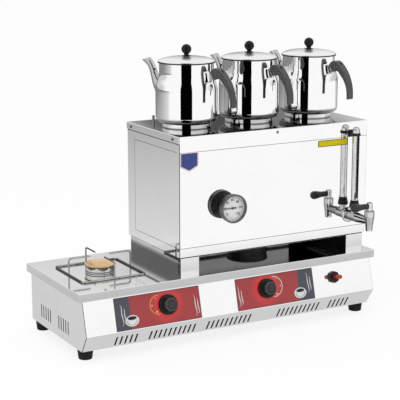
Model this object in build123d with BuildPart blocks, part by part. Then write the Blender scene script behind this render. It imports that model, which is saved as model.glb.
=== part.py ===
from build123d import *
import os
from math import atan, cos, degrees, radians, sin, tan

os.makedirs("parts", exist_ok=True)

# A gas tea boiler: a stove with a coffee burner at its left, a water boiler over the main burner,
# and three teapots that sit in the boiler's lid. X runs to the right, Y to the back and Z up.
# The origin is on the table, in the middle of the whole footprint, tap and gas inlet included.

# Stove
sheet = 1.2  # stainless steel sheet of the stove and of the boiler
fold_r = 2.0  # outer radius of the folds in that sheet
gap = 0.1  # air between faces that only rest on each other
tray_width, tray_depth, tray_lip = 850.0, 322.0, 20.0
tray_top = 170.7
tray_y = 25.0  # the stove's middle stands this far behind the middle of the footprint
cabinet_width, cabinet_back = 828.0, 158.0  # the back wall is measured from the stove's middle
foot_height, foot_top_r, foot_bottom_r, foot_inset = 25.0, 19.5, 16.5, 20.0
panel_top_y, panel_top_z = tray_y - 154.5, 150.5  # where the sloping panel meets the tray's lip
panel_slope, panel_length = 14.6, 85.8  # degrees from the vertical, and the length down the slope
kick_front_y = tray_y - 148.6  # where the kick under the nose ends, at the bottom of the cabinet
slot_width, slot_length, slot_pitch = 4.5, 30.0, 13.3
slot_groups = ((-330.0, 5), (-238.0, 10), (-79.0, 10), (127.0, 10), (285.0, 5))
vent_height, vent_pitch, vent_z = 33.3, 14.0, 62.3
vent_groups = (tray_y + 65.5, tray_y - 42.5)  # the middle of each group of five side vents

# Controls on the sloping panel, measured down the slope from its top
plate_width, plate_height, plate_middle, plate_thickness = 230.0, 79.5, 43.7, 0.8
plate_x = {"left": -219.5, "right": 114.0}
knob_x = {"left": -194.0, "right": 87.5}
knob_drop, knob_r, knob_height, grip_r = 38.0, 24.7, 22.0, 17.6
spindle_r = 4.0
igniter_x, igniter_drop, igniter_width, button_r, button_reach = 292.3, 37.0, 28.6, 5.5, 34.0
valve_r, valve_bore, valve_depth = 10.0, 30.0, 39.5
rail_r, rail_depth = 6.4, 46.0  # the gas rail, and its middle behind the panel

# Burners
side_burner = (-294.0, tray_y + 2.0)
burner_rise = 21.3  # top of the cap above the tray
wire_r, stand_side, prong_rise, prong_reach = 2.2, 167.0, 41.8, 27.0

# Boiler
boiler_x, boiler_y = 131.6, tray_y + 2.7
boiler_width, boiler_depth = 554.0, 279.9
boiler_bottom, lid_top = 216.1, 513.3
lid_overhang, lid_lip = 1.5, 17.0
stand_inset, stand_height, post_width = 4.0, 42.8, 52.0
tank_gap, flange = 12.0, 24.0
seat_pitch, seat_shift, seat_r = 182.6, 2.4, 54.0
crease_low, crease_high, crease = 238.0, 474.0, 1.2
boiler_front = boiler_y - boiler_depth / 2

# Fittings on the boiler's front
tap_x, tap_z, tap_reach = 355.0, 268.7, 90.0
gauge_reach, gauge_top = 25.0, 503.0
dial_x, dial_z, dial_r, dial_face, dial_back = -12.0, 331.0, 36.0, 36.0, 21.0

# Teapots, in their own frame: Z up from the boiler's lid and the handle along +X
pot_turns = (-68.0, -77.0, -77.5)  # degrees that each pot is turned, with its handle to the front
wall = 1.0
step_r, step = 52.0, 7.0
foot_r, foot_rise, base_round = 61.2, 11.0, 16.0
belly_r, belly_low, belly_high = 77.5, 27.0, 91.0
neck_r, neck_low, neck_top = 68.0, 139.0, 160.0
shoulder_r, shoulder_turn = 63.0, 22.4  # radius and degrees of the two arcs between belly and neck
lid_r, lid_dome = 71.5, 13.0
ball_r, ball_z = 12.5, 193.0

bottom_up = (Align.CENTER, Align.CENTER, Align.MIN)


def save(part, name):
    part.label = name
    export_step(part, f"parts/{name}.step")


# The sloping panel, with X along the stove and Y up the slope
panel = Plane(
    origin=(0, panel_top_y, panel_top_z),
    x_dir=(1, 0, 0),
    z_dir=(0, -cos(radians(panel_slope)), sin(radians(panel_slope))),
)
nose = panel.from_local_coords((0, -panel_length, 0))
kick_edge = Vector(0, kick_front_y, foot_height) - nose
kick = Plane(origin=nose, x_dir=(1, 0, 0), z_dir=(0, kick_edge.Z, -kick_edge.Y))


def on_panel(x, drop, out):
    """A plane parallel to the sloping panel, down its slope and out from its face."""
    return Plane(origin=panel.from_local_coords((x, -drop, out)), x_dir=panel.x_dir, z_dir=panel.z_dir)


def front_plane(x, z, out=0.0):
    """A plane facing forwards at a place on the boiler's front, with its Y up."""
    return Plane(origin=(x, boiler_front - out, z), x_dir=(1, 0, 0), z_dir=(0, -1, 0))


def upright(x, y):
    """A plane that holds the half profile of a piece turned about a vertical axis."""
    return Plane(origin=(x, y, 0), x_dir=(1, 0, 0), z_dir=(0, -1, 0))


def bent_bar(points, bend, bar_r):
    """A round bar along straight runs that are joined by bends of one radius."""
    with BuildPart() as bar:
        with BuildLine() as path:
            FilletPolyline(*points, radius=bend)
        with BuildSketch(Plane(origin=path.line @ 0, z_dir=path.line % 0)):
            Circle(bar_r)
        sweep()
    return bar.part


# Stove cabinet: one folded shell with a sloping panel, a kick under its nose and a return flange
cabinet_top = tray_top - sheet - gap
cabinet_front_y = panel_top_y + (cabinet_top - panel_top_z) * tan(radians(panel_slope))
cabinet_back_y = tray_y + cabinet_back
foot_places = [
    (x, y)
    for x in (-cabinet_width / 2 + foot_inset, cabinet_width / 2 - foot_inset)
    for y in (kick_front_y + foot_inset + 5, cabinet_back_y - foot_inset - 5)
]
with BuildPart() as base_cabinet:
    with BuildSketch(Plane.YZ):
        with BuildLine():
            Polyline(
                (cabinet_front_y, cabinet_top),
                (nose.Y, nose.Z),
                (kick_front_y, foot_height),
                (cabinet_back_y, foot_height),
                (cabinet_back_y, cabinet_top),
                close=True,
            )
        make_face()
    extrude(amount=cabinet_width / 2, both=True)
    level = base_cabinet.edges().group_by(Axis.Z)
    fillet([edge for edges in level[1:-1] for edge in edges], radius=fold_r)
    ends = base_cabinet.faces().sort_by(Axis.Z)
    offset(amount=-sheet, openings=[ends[0], ends[-1]])
    with BuildSketch(Plane.XY.offset(foot_height)):
        with Locations((0, (kick_front_y + cabinet_back_y) / 2)):
            Rectangle(cabinet_width - sheet, cabinet_back_y - kick_front_y - sheet)
            Rectangle(
                cabinet_width - 2 * flange, cabinet_back_y - kick_front_y - 2 * flange, mode=Mode.SUBTRACT
            )
        with Locations(*foot_places):
            Circle(2.6, mode=Mode.SUBTRACT)
    extrude(amount=sheet)
    # cooling slots in the kick and in both side walls
    with BuildSketch(kick.offset(sheet)):
        for start, count in slot_groups:
            for i in range(count):
                with Locations((start + i * slot_pitch, -30)):
                    Rectangle(slot_width, slot_length)
    extrude(amount=-3 * sheet, mode=Mode.SUBTRACT)
    with BuildSketch(Plane.YZ):
        for middle in vent_groups:
            for i in range(-2, 3):
                with Locations((middle + i * vent_pitch, vent_z)):
                    Rectangle(slot_width, vent_height)
    extrude(amount=cabinet_width / 2 + sheet, both=True, mode=Mode.SUBTRACT)
    # holes for the two valves, the igniter and the gas inlet
    with BuildSketch(panel.offset(sheet)):
        for x in knob_x.values():
            with Locations((x, -knob_drop)):
                Circle(spindle_r + 2)
        with Locations((igniter_x, -igniter_drop)):
            Circle(8.1)
    extrude(amount=-3 * sheet, mode=Mode.SUBTRACT)
    rail = on_panel(0, knob_drop, -rail_depth).origin
    inlet_x = 230.0
    with BuildSketch(Plane.XZ.offset(-cabinet_back_y - sheet)):
        with Locations((inlet_x, rail.Z)):
            Circle(8.1)
    extrude(amount=3 * sheet, mode=Mode.SUBTRACT)
save(base_cabinet.part, "base_cabinet")

# Floor plate, feet and the screws that hold both
floor_z = foot_height + sheet + gap
with BuildPart() as base_floor:
    with BuildSketch(Plane.XY.offset(floor_z)):
        with Locations((0, (kick_front_y + cabinet_back_y) / 2)):
            Rectangle(cabinet_width - 4 * sheet, cabinet_back_y - kick_front_y - 4 * sheet)
        with Locations(*foot_places):
            Circle(2.6, mode=Mode.SUBTRACT)
    extrude(amount=sheet)
save(base_floor.part, "base_floor")

with BuildPart() as rubber_feet:
    with Locations(*foot_places):
        Cone(foot_bottom_r, foot_top_r, foot_height, align=bottom_up)
        Cylinder(6, 12, align=bottom_up, mode=Mode.SUBTRACT)
        Cylinder(2.7, foot_height, align=bottom_up, mode=Mode.SUBTRACT)
    rims = rubber_feet.edges().filter_by(GeomType.CIRCLE).group_by(Axis.Z)[0]
    fillet([edge for edge in rims if edge.radius > 10], radius=2)
save(rubber_feet.part, "rubber_feet")

with BuildPart() as foot_screws:
    for x, y in foot_places:
        with Locations((x, y, 12)):
            Cylinder(4.6, 3, align=bottom_up, rotation=(180, 0, 0))
            Cylinder(2.5, floor_z + 8 - 12, align=bottom_up)
        with BuildSketch(Plane.XY.offset(floor_z + sheet + gap)):
            with Locations((x, y)):
                RegularPolygon(5, 6)
        extrude(amount=4)
save(foot_screws.part, "foot_screws")

# Tray over the cabinet, with a lip turned down all round and a hole for each burner
main_burner = (boiler_x, boiler_y)
burner_sizes = {"side": (side_burner, 36.5, 28.0), "main": (main_burner, 52.0, 43.0)}
with BuildPart() as base_tray:
    with Locations((0, tray_y, tray_top)):
        Box(tray_width, tray_depth, tray_lip, align=(Align.CENTER, Align.CENTER, Align.MAX))
    fillet(base_tray.edges().filter_by(Axis.Z), radius=fold_r)
    fillet(base_tray.faces().sort_by(Axis.Z)[-1].edges(), radius=1.5)
    offset(amount=-sheet, openings=base_tray.faces().sort_by(Axis.Z)[0])
    with BuildSketch(Plane.XY.offset(tray_top)):
        for place, body_r, bowl_r in burner_sizes.values():
            with Locations(place):
                Circle(bowl_r + 1)
    extrude(amount=-2 * sheet, mode=Mode.SUBTRACT)
save(base_tray.part, "base_tray")

# Control plates, knobs, valves and spindles
for side in ("left", "right"):
    with BuildPart() as control_plate:
        with BuildSketch(on_panel(plate_x[side], plate_middle, gap)):
            RectangleRounded(plate_width, plate_height, 1.5)
        extrude(amount=plate_thickness)
        with BuildSketch(on_panel(knob_x[side], knob_drop, -1)):
            Circle(spindle_r + 2)
        extrude(amount=4, mode=Mode.SUBTRACT)
    save(control_plate.part, f"control_plate_{side}")

    with BuildPart() as knob:
        seat = on_panel(knob_x[side], knob_drop, plate_thickness + 0.7)
        with BuildSketch(seat):
            Circle(knob_r)
        extrude(amount=8, taper=3)
        outwards = Axis(seat.origin, seat.z_dir)
        fillet(knob.edges().filter_by(GeomType.CIRCLE).sort_by(outwards)[-1], radius=2)
        with BuildSketch(seat.offset(6)):
            RegularPolygon(grip_r, 8, rotation=22.5)
        extrude(amount=knob_height - 6, taper=3)
        tip = knob.faces().sort_by(outwards)[-1]
        chamfer(tip.edges(), length=1)
        with BuildSketch(seat.offset(knob_height)):
            Circle(5)
        extrude(amount=-1.2, mode=Mode.SUBTRACT)
        with BuildSketch(seat):
            Circle(spindle_r + 0.02)
        extrude(amount=14, mode=Mode.SUBTRACT)
    save(knob.part, f"knob_{side}")

    with BuildPart() as spindle:
        with BuildSketch(on_panel(knob_x[side], knob_drop, 0.3 - valve_bore)):
            Circle(spindle_r)
        extrude(amount=valve_bore + plate_thickness + 13.8)
    save(spindle.part, f"valve_spindle_{side}")

    with BuildPart() as gas_valve:
        with BuildSketch(on_panel(knob_x[side], knob_drop, -sheet - gap)):
            Circle(valve_r)
            Circle(spindle_r + 0.05, mode=Mode.SUBTRACT)
        extrude(amount=sheet + gap - valve_bore)
        with BuildSketch(on_panel(knob_x[side], knob_drop, -valve_bore)):
            Circle(valve_r)
        extrude(amount=valve_bore - valve_depth)
        with BuildSketch(on_panel(knob_x[side], knob_drop, -sheet - gap)):
            Rectangle(34, 18)
            Circle(spindle_r + 1, mode=Mode.SUBTRACT)
        extrude(amount=-3)
    save(gas_valve.part, f"gas_valve_{side}")

# Gas rail behind the valves, bent to the back wall, with the hose nipple outside
rail_points = (
    (knob_x["left"] - 14, rail.Y, rail.Z),
    (inlet_x, rail.Y, rail.Z),
    (inlet_x, cabinet_back_y - 22, rail.Z),
)
save(bent_bar(rail_points, 30, rail_r), "gas_rail")

nipple_r, nipple_reach = 5.0, 32.2
with BuildPart() as gas_nipple:
    with BuildSketch(Plane.XZ.offset(-cabinet_back_y + 22 - gap)):
        with Locations((inlet_x, rail.Z)):
            Circle(8)
    extrude(amount=-22 - 3)
    with BuildSketch(Plane.XZ.offset(-cabinet_back_y - gap)):
        with Locations((inlet_x, rail.Z)):
            RegularPolygon(12, 6)
    extrude(amount=-7)
    with BuildSketch(Plane.XZ.offset(-cabinet_back_y)):
        with Locations((inlet_x, rail.Z)):
            Circle(nipple_r)
    extrude(amount=-nipple_reach)
    with BuildSketch(Plane.XZ.offset(-cabinet_back_y + 20)):
        with Locations((inlet_x, rail.Z)):
            Circle(3)
    extrude(amount=-20 - nipple_reach - 1, mode=Mode.SUBTRACT)
save(gas_nipple.part, "gas_nipple")


def burner_pieces(place, body_r, bowl_r):
    """A burner body that hangs through the tray with its mixing tube, and the cap on it."""
    x, y = place
    tube_z = tray_top - 22
    axis = Axis((x, y, 0), (0, 0, 1))
    rest = tray_top + gap
    cap_top = tray_top + burner_rise
    ring_top = cap_top - 4.3
    with BuildPart() as body:
        with BuildSketch(upright(x, y)):
            with BuildLine():
                Polyline(
                    (0, tube_z - 13),
                    (bowl_r - 6, tube_z - 13),
                    (bowl_r, tube_z - 7),
                    (bowl_r, rest),
                    (body_r, rest),
                    (body_r, rest + 3.5),
                    (body_r - 0.8, rest + 4.3),
                    (body_r, rest + 5.1),
                    (body_r, ring_top),
                    (body_r - 6.5, ring_top),
                    (body_r - 8, rest + 3),
                    (bowl_r - 2, rest - 2),
                    (bowl_r - 2, tube_z - 6),
                    (bowl_r - 7, tube_z - 11),
                    (0, tube_z - 11),
                    close=True,
                )
            make_face()
        revolve(axis=axis)
        mouth_y = y - bowl_r - 62
        with BuildSketch(Plane(origin=(x, mouth_y, tube_z), x_dir=(1, 0, 0), z_dir=(0, 1, 0))):
            Circle(9.5)
        extrude(amount=63)
        with BuildSketch(Plane(origin=(x, mouth_y, tube_z), x_dir=(1, 0, 0), z_dir=(0, 1, 0))):
            Circle(8)
        extrude(amount=66, mode=Mode.SUBTRACT)
    with BuildPart() as cap:
        with BuildSketch(upright(x, y)):
            with BuildLine():
                Polyline(
                    (0, cap_top - 1.2),
                    (body_r * 0.58, cap_top - 1.2),
                    (body_r * 0.7, cap_top - 0.2),
                    (body_r + 1, cap_top),
                    (body_r + 2, cap_top - 1),
                    (body_r + 2, ring_top + gap),
                    (body_r - 6.8, ring_top + gap),
                    (body_r - 7.4, ring_top - 5),
                    (body_r - 9.4, ring_top - 5),
                    (body_r - 9.4, cap_top - 3.2),
                    (0, cap_top - 3.2),
                    close=True,
                )
            make_face()
        revolve(axis=axis)
        # flame ports: a crown of radial slots under the rim
        with BuildSketch(Plane.XY.offset(ring_top - 6)):
            with Locations(place):
                with PolarLocations(body_r - 3, round(body_r * 0.66)):
                    Rectangle(14, 2.0)
        extrude(amount=6 + 2.2, mode=Mode.SUBTRACT)
    return body.part, cap.part, (x, mouth_y, tube_z)


for name, (place, body_r, bowl_r) in burner_sizes.items():
    body, cap, mouth = burner_pieces(place, body_r, bowl_r)
    save(body, f"{name}_burner_body")
    save(cap, f"{name}_burner_cap")
    # bent supply pipe from the valve to the jet in the mixing tube's mouth
    side = {"side": "left", "main": "right"}[name]
    start = on_panel(knob_x[side], knob_drop, -22).origin
    away = 1 if mouth[0] > start.X else -1
    pipe_points = (
        (start.X + away * (valve_r + gap), start.Y, start.Z),
        (mouth[0], start.Y, start.Z),
        (mouth[0], start.Y, mouth[2]),
        (mouth[0], mouth[1] - 10, mouth[2]),
    )
    pipe = bent_bar(pipe_points, 9, 3.5)
    with BuildPart() as supply_pipe:
        add(pipe)
        with BuildSketch(Plane(origin=pipe_points[-1], x_dir=(1, 0, 0), z_dir=(0, 1, 0))):
            Circle(5.5)
        extrude(amount=14)
    save(supply_pipe.part, f"supply_pipe_{name}")

# Pot stand over the coffee burner: a square of wire on the tray with four bent prongs
stand_x, stand_y = side_burner
frame_z = tray_top + wire_r + gap
half = stand_side / 2
side_ends = [(stand_x + i * half, stand_y + j * half, frame_z) for i, j in ((0, 1), (-1, 1), (-1, -1), (0, -1))]
half_frame = bent_bar(side_ends, 7, wire_r)
prongs = []
for i, j in ((1, 0), (0, 1), (-1, 0), (0, -1)):
    reach = [(half, 0), (half, prong_rise - wire_r), (prong_reach, prong_rise - wire_r)]
    bends = [(stand_x + i * out, stand_y + j * out, frame_z + rise) for out, rise in reach]
    prongs.append(bent_bar(bends, 8, wire_r - 0.2))
with BuildPart() as pot_stand:
    add(half_frame)
    mirror(about=Plane(origin=(stand_x, stand_y, 0), x_dir=(0, 1, 0), z_dir=(1, 0, 0)))
    add(prongs)
save(pot_stand.part, "pot_stand")

# Igniter: octagonal head, threaded barrel, nut behind the panel and a long push button
with BuildPart() as igniter_body:
    with BuildSketch(on_panel(igniter_x, igniter_drop, gap)):
        RegularPolygon(igniter_width / 2, 8, major_radius=False)
    extrude(amount=8)
    head_axis = Axis(igniter_body.part.center(), panel.z_dir)
    chamfer(igniter_body.faces().sort_by(head_axis)[-1].edges(), length=1)
    with BuildSketch(on_panel(igniter_x, igniter_drop, gap)):
        Circle(8)
    extrude(amount=-26)
    with BuildSketch(on_panel(igniter_x, igniter_drop, 9)):
        Circle(button_r + 0.1)
    extrude(amount=-30, mode=Mode.SUBTRACT)
save(igniter_body.part, "igniter_body")

with BuildPart() as igniter_nut:
    with BuildSketch(on_panel(igniter_x, igniter_drop, -sheet - gap)):
        RegularPolygon(13, 6)
        Circle(8.05, mode=Mode.SUBTRACT)
    extrude(amount=-5)
save(igniter_nut.part, "igniter_nut")

with BuildPart() as igniter_button:
    with BuildSketch(on_panel(igniter_x, igniter_drop, button_reach)):
        Circle(button_r)
    extrude(amount=-button_reach - 11)
    tips = igniter_button.edges().filter_by(GeomType.CIRCLE).sort_by(Axis(nose, panel.z_dir))
    fillet(tips[-1], radius=1.5)
save(igniter_button.part, "igniter_button")

# Boiler stand: side walls and corner posts of folded sheet, open at the front and at the back,
# with a stepped ledge at the top that leaves a shadow gap under the boiler
stand_width, stand_depth = boiler_width - 2 * stand_inset, boiler_depth - 2 * stand_inset
ledge_z = tray_top + stand_height
with BuildPart() as boiler_stand:
    with BuildSketch(Plane.XY.offset(tray_top)):
        with Locations((boiler_x, boiler_y)):
            RectangleRounded(stand_width, stand_depth, fold_r)
            RectangleRounded(
                stand_width - 2 * sheet, stand_depth - 2 * sheet, fold_r - sheet, mode=Mode.SUBTRACT
            )
    extrude(amount=stand_height)
    with BuildSketch(Plane.XZ.offset(-boiler_y)):
        with Locations((boiler_x, tray_top + (stand_height - sheet) / 2)):
            Rectangle(stand_width - 2 * post_width, stand_height - sheet)
    extrude(amount=stand_depth, both=True, mode=Mode.SUBTRACT)
    with BuildSketch(Plane.XY.offset(ledge_z)):
        with Locations((boiler_x, boiler_y)):
            RectangleRounded(stand_width, stand_depth, fold_r)
            Rectangle(stand_width - 18, stand_depth - 18, mode=Mode.SUBTRACT)
    extrude(amount=-sheet)
    with BuildSketch(Plane.XY.offset(ledge_z - sheet)):
        with Locations((boiler_x, boiler_y)):
            Rectangle(stand_width - 16, stand_depth - 16)
            Rectangle(stand_width - 18.4, stand_depth - 18.4, mode=Mode.SUBTRACT)
    extrude(amount=boiler_bottom - gap - ledge_z + sheet)
save(boiler_stand.part, "boiler_stand")

# Boiler casing: folded walls with pressed creases, on a bottom flange that carries the tank
screw_z = lid_top - lid_lip / 2 - 0.8
side_screws = (boiler_y + 115.3, boiler_y - 108.7)
casing_top = lid_top - sheet - gap
boiler_box = (boiler_x, boiler_y)
reach_x, reach_y = boiler_width / 2 + lid_overhang + gap, boiler_depth / 2 + lid_overhang + gap
screw_planes = [
    Plane(origin=(boiler_x + side * reach_x, y, screw_z), x_dir=(0, 0, 1), z_dir=(side, 0, 0))
    for side in (-1, 1)
    for y in side_screws
]
screw_planes += [
    Plane(origin=(boiler_x, boiler_y + side * reach_y, screw_z), x_dir=(0, 0, 1), z_dir=(0, side, 0))
    for side in (-1, 1)
]
with BuildPart() as boiler_casing:
    with BuildSketch(Plane.XY.offset(boiler_bottom)):
        with Locations(boiler_box):
            RectangleRounded(boiler_width, boiler_depth, 2.5)
            RectangleRounded(boiler_width - 2 * sheet, boiler_depth - 2 * sheet, 1.3, mode=Mode.SUBTRACT)
    extrude(amount=casing_top - boiler_bottom)
    with BuildSketch(Plane.XY.offset(boiler_bottom)):
        with Locations(boiler_box):
            RectangleRounded(boiler_width - sheet, boiler_depth - sheet, 1.9)
            Rectangle(boiler_width - 2 * flange, boiler_depth - 2 * flange, mode=Mode.SUBTRACT)
    extrude(amount=sheet)
    # creases: two lines across the front, and a frame on each side wall
    with BuildSketch(Plane.XZ.offset(-boiler_front + 1)):
        with Locations((boiler_x, crease_low), (boiler_x, crease_high)):
            Rectangle(boiler_width, crease)
    extrude(amount=-1.5, mode=Mode.SUBTRACT)
    for x in (boiler_x - boiler_width / 2, boiler_x + boiler_width / 2):
        with BuildSketch(Plane.YZ.offset(x)):
            with Locations((boiler_y - 14, crease_low), (boiler_y - 14, crease_high)):
                Rectangle(226, crease)
            with Locations((boiler_y + 98.5, (crease_low + crease_high) / 2)):
                Rectangle(crease, crease_high - crease_low)
        extrude(amount=0.5, both=True, mode=Mode.SUBTRACT)
    with BuildSketch(front_plane(0, 0, 1)):
        with Locations((tap_x, tap_z)):
            Circle(8.1)
        with Locations((dial_x, dial_z)):
            Circle(6.3)
    extrude(amount=-4, mode=Mode.SUBTRACT)
    with Locations(*screw_planes):
        Cylinder(2.05, 12, mode=Mode.SUBTRACT)
save(boiler_casing.part, "boiler_casing")

# Water tank inside the casing: a welded box whose top flange lies under the lid
tank_width = boiler_width - 2 * (sheet + tank_gap)
tank_depth = boiler_depth - 2 * (sheet + tank_gap)
tank_bottom = boiler_bottom + sheet + gap
with BuildPart() as water_tank:
    with BuildSketch(Plane.XY.offset(tank_bottom)):
        with Locations(boiler_box):
            RectangleRounded(tank_width, tank_depth, 12)
    extrude(amount=casing_top - tank_bottom)
    offset(amount=-sheet, openings=water_tank.faces().sort_by(Axis.Z)[-1])
    with BuildSketch(Plane.XY.offset(casing_top)):
        with Locations(boiler_box):
            Rectangle(tank_width + 2 * tank_gap - 1, tank_depth + 2 * tank_gap - 1)
            RectangleRounded(tank_width - sheet, tank_depth - sheet, 11.4, mode=Mode.SUBTRACT)
    extrude(amount=-sheet)
    with BuildSketch(front_plane(0, 0, 0)):
        with Locations((tap_x, tap_z)):
            Circle(8.1)
        with Locations((dial_x, dial_z)):
            Circle(6.3)
    extrude(amount=-20, mode=Mode.SUBTRACT)
    # welded sockets that carry the tap and the thermometer across the gap to the casing
    with BuildSketch(front_plane(0, 0, -sheet - 0.3)):
        for x, z, bore in ((tap_x, tap_z, 8.1), (dial_x, dial_z, 6.3)):
            with Locations((x, z)):
                Circle(bore + 3)
                Circle(bore, mode=Mode.SUBTRACT)
    extrude(amount=0.3 - tank_gap - sheet / 2)
save(water_tank.part, "water_tank")

# Boiler lid: a flat sheet with a lip turned down, and three collared seats for the teapots
seats = [(boiler_x + seat_shift + i * seat_pitch, boiler_y) for i in (-1, 0, 1)]
vent_place = (-90.0, tray_y + 103.0)
with BuildPart() as boiler_lid:
    with Locations((boiler_x, boiler_y, lid_top)):
        Box(
            boiler_width + 2 * lid_overhang,
            boiler_depth + 2 * lid_overhang,
            lid_lip,
            align=(Align.CENTER, Align.CENTER, Align.MAX),
        )
    fillet(boiler_lid.edges().filter_by(Axis.Z), radius=2)
    fillet(boiler_lid.faces().sort_by(Axis.Z)[-1].edges(), radius=1.5)
    offset(amount=-sheet, openings=boiler_lid.faces().sort_by(Axis.Z)[0])
    with BuildSketch(Plane.XY.offset(lid_top - 9)):
        with Locations(*seats):
            Circle(seat_r + sheet)
    extrude(amount=9 - sheet / 2)
    with BuildSketch(Plane.XY.offset(lid_top + 1)):
        with Locations(*seats):
            Circle(seat_r)
        with Locations(vent_place):
            Circle(3.6)
    extrude(amount=-12, mode=Mode.SUBTRACT)
    with Locations(*screw_planes):
        Cylinder(2.05, 12, mode=Mode.SUBTRACT)
save(boiler_lid.part, "boiler_lid")

# Cross-head screws through the lid's lip into the casing, and the vent pipe under the lid's left end
screw_r, screw_head = 3.9, 2.2
with BuildPart() as lid_screws:
    with Locations(*screw_planes):
        Cone(screw_r, 2.6, screw_head, align=bottom_up)
        Cylinder(1.95, 8, align=(Align.CENTER, Align.CENTER, Align.MAX))
        with Locations((0, 0, screw_head)):
            for length, breadth in ((4.2, 0.9), (0.9, 4.2)):
                Box(length, breadth, 2.4, mode=Mode.SUBTRACT)
save(lid_screws.part, "lid_screws")

with BuildPart() as vent_pipe:
    with BuildSketch(upright(*vent_place)):
        with BuildLine():
            Polyline(
                (2.4, lid_top - 4),
                (6, lid_top - 4),
                (6, lid_top - sheet - gap),
                (3.4, lid_top - sheet - gap),
                (3.4, lid_top + 17),
                (2.4, lid_top + 17),
                close=True,
            )
        make_face()
    revolve(axis=Axis((*vent_place, 0), (0, 0, 1)))
save(vent_pipe.part, "vent_pipe")


def barrel(x, z):
    """A plane for the half profile of a piece turned about a line straight out of the boiler's front.

    Its X runs out of the front and its Y upwards.
    """
    return Plane(origin=(x, boiler_front, z), x_dir=(0, -1, 0), z_dir=(1, 0, 0))


def ring(x, z, inner_r, outer_r, near, far):
    """A plain ring about a line straight out of the boiler's front, between two distances from it."""
    with BuildPart() as turned:
        with BuildSketch(front_plane(x, z, near)):
            Circle(outer_r)
            Circle(inner_r, mode=Mode.SUBTRACT)
        extrude(amount=far - near)
    return turned.part


# Tap: a barrel through the wall, an upright body with a taper plug, and a port for the sight glass
tap_axis = Axis((tap_x, boiler_front, tap_z), (0, -1, 0))
tap_y, port_y = boiler_front - tap_reach, boiler_front - gauge_reach
tap_top, tap_mouth, port_top = 294.0, 244.0, 292.0
wall_depth = 2 * sheet + tank_gap
with BuildPart() as tap_body:
    with BuildSketch(barrel(tap_x, tap_z)):
        with BuildLine():
            Polyline(
                (-wall_depth - 9, 0),
                (-wall_depth - 9, 8),
                (3 + gap, 8),
                (3 + gap, 13),
                (40, 13),
                (tap_reach - 5, 8.5),
                (tap_reach - 5, 0),
                close=True,
            )
        make_face()
    revolve(axis=tap_axis)
    with BuildSketch(upright(tap_x, tap_y)):
        with BuildLine():
            Polyline(
                (0, tap_mouth),
                (8.8, tap_mouth),
                (8.8, tap_mouth + 4),
                (9.8, tap_mouth + 14),
                (13, tap_top - 12),
                (13, tap_top),
                (0, tap_top),
                close=True,
            )
        make_face()
    revolve(axis=Axis((tap_x, tap_y, 0), (0, 0, 1)))
    with Locations((tap_x, tap_y, tap_mouth)):
        Cylinder(5.5, tap_z - tap_mouth, align=bottom_up, mode=Mode.SUBTRACT)
    with Locations((tap_x, tap_y, tap_z - 9)):
        Cone(6.5, 9, tap_top - tap_z + 9, align=bottom_up, mode=Mode.SUBTRACT)
    with Locations((tap_x, port_y, tap_z)):
        Cylinder(9, port_top - tap_z, align=bottom_up)
        Cylinder(4, port_top - tap_z, align=bottom_up, mode=Mode.SUBTRACT)
    with BuildSketch(front_plane(tap_x, tap_z, -wall_depth - 9)):
        Circle(4)
    extrude(amount=wall_depth + 9 + tap_reach - 3, mode=Mode.SUBTRACT)
save(tap_body.part, "tap_body")

hub_high, grip_z = 316.0, 308.0
grip_root, grip_end, grip_flare = 7.4, 10.8, 27.0  # radii of the lever's grip, and the length between
grip_turn = 2 * degrees(atan((grip_end - grip_root) / grip_flare))
grip_curve = grip_flare / 2 / sin(radians(grip_turn))
with BuildPart() as tap_plug:
    with BuildSketch(upright(tap_x, tap_y)):
        with BuildLine():
            Polyline(
                (0, tap_z - 8.6),
                (6.46, tap_z - 8.6),
                (8.95, tap_top + 0.3),
                (12, tap_top + 0.3),
                (12, tap_top + 2.3),
                (7.5, tap_top + 3.3),
                (7.5, hub_high),
                (6.5, hub_high + 1.5),
                (0, hub_high + 1.5),
                close=True,
            )
        make_face()
    revolve(axis=Axis((tap_x, tap_y, 0), (0, 0, 1)))
    # the port through the plug, turned away from the barrel while the tap is shut
    with Locations((tap_x, tap_y, tap_z - 9)):
        Cylinder(3.6, 12, align=bottom_up, mode=Mode.SUBTRACT)
    with BuildSketch(Plane.YZ.offset(tap_x)):
        with Locations((tap_y, tap_z)):
            Circle(3.6)
    extrude(amount=12, mode=Mode.SUBTRACT)
    with BuildSketch(Plane.YZ.offset(tap_x)):
        with Locations((tap_y, grip_z)):
            Circle(3)
    extrude(amount=-22)
save(tap_plug.part, "tap_plug")

with BuildPart() as tap_lever:
    with BuildSketch(Plane(origin=(tap_x, tap_y, grip_z), x_dir=(-1, 0, 0), z_dir=(0, -1, 0))):
        with BuildLine():
            root = Polyline((7.7, 0), (7.7, grip_root), (20, grip_root))
            flare = JernArc(root @ 1, (1, 0), grip_curve, grip_turn)
            swell = JernArc(flare @ 1, flare % 1, grip_curve, -grip_turn)
            CenterArc(swell @ 1 - (0, grip_end), grip_end, 90, -90)
            Line(swell @ 1 + (grip_end, -grip_end), root @ 0)
        make_face()
    revolve(axis=Axis((tap_x, tap_y, grip_z), (-1, 0, 0)))
    with BuildSketch(Plane.YZ.offset(tap_x)):
        with Locations((tap_y, grip_z)):
            Circle(3.05)
    extrude(amount=-22.5, mode=Mode.SUBTRACT)
save(tap_lever.part, "tap_lever")

with BuildPart() as tap_escutcheon:
    with BuildSketch(barrel(tap_x, tap_z)):
        with BuildLine():
            Polyline((gap, 8.1), (gap, 20), (1.5, 20), (3, 17), (3, 8.1), close=True)
        make_face()
    revolve(axis=tap_axis)
save(tap_escutcheon.part, "tap_escutcheon")

with BuildPart() as tap_locknut:
    with BuildSketch(front_plane(tap_x, tap_z, -wall_depth - gap)):
        RegularPolygon(14, 6)
        Circle(8.05, mode=Mode.SUBTRACT)
    extrude(amount=-6)
save(tap_locknut.part, "tap_locknut")

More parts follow.
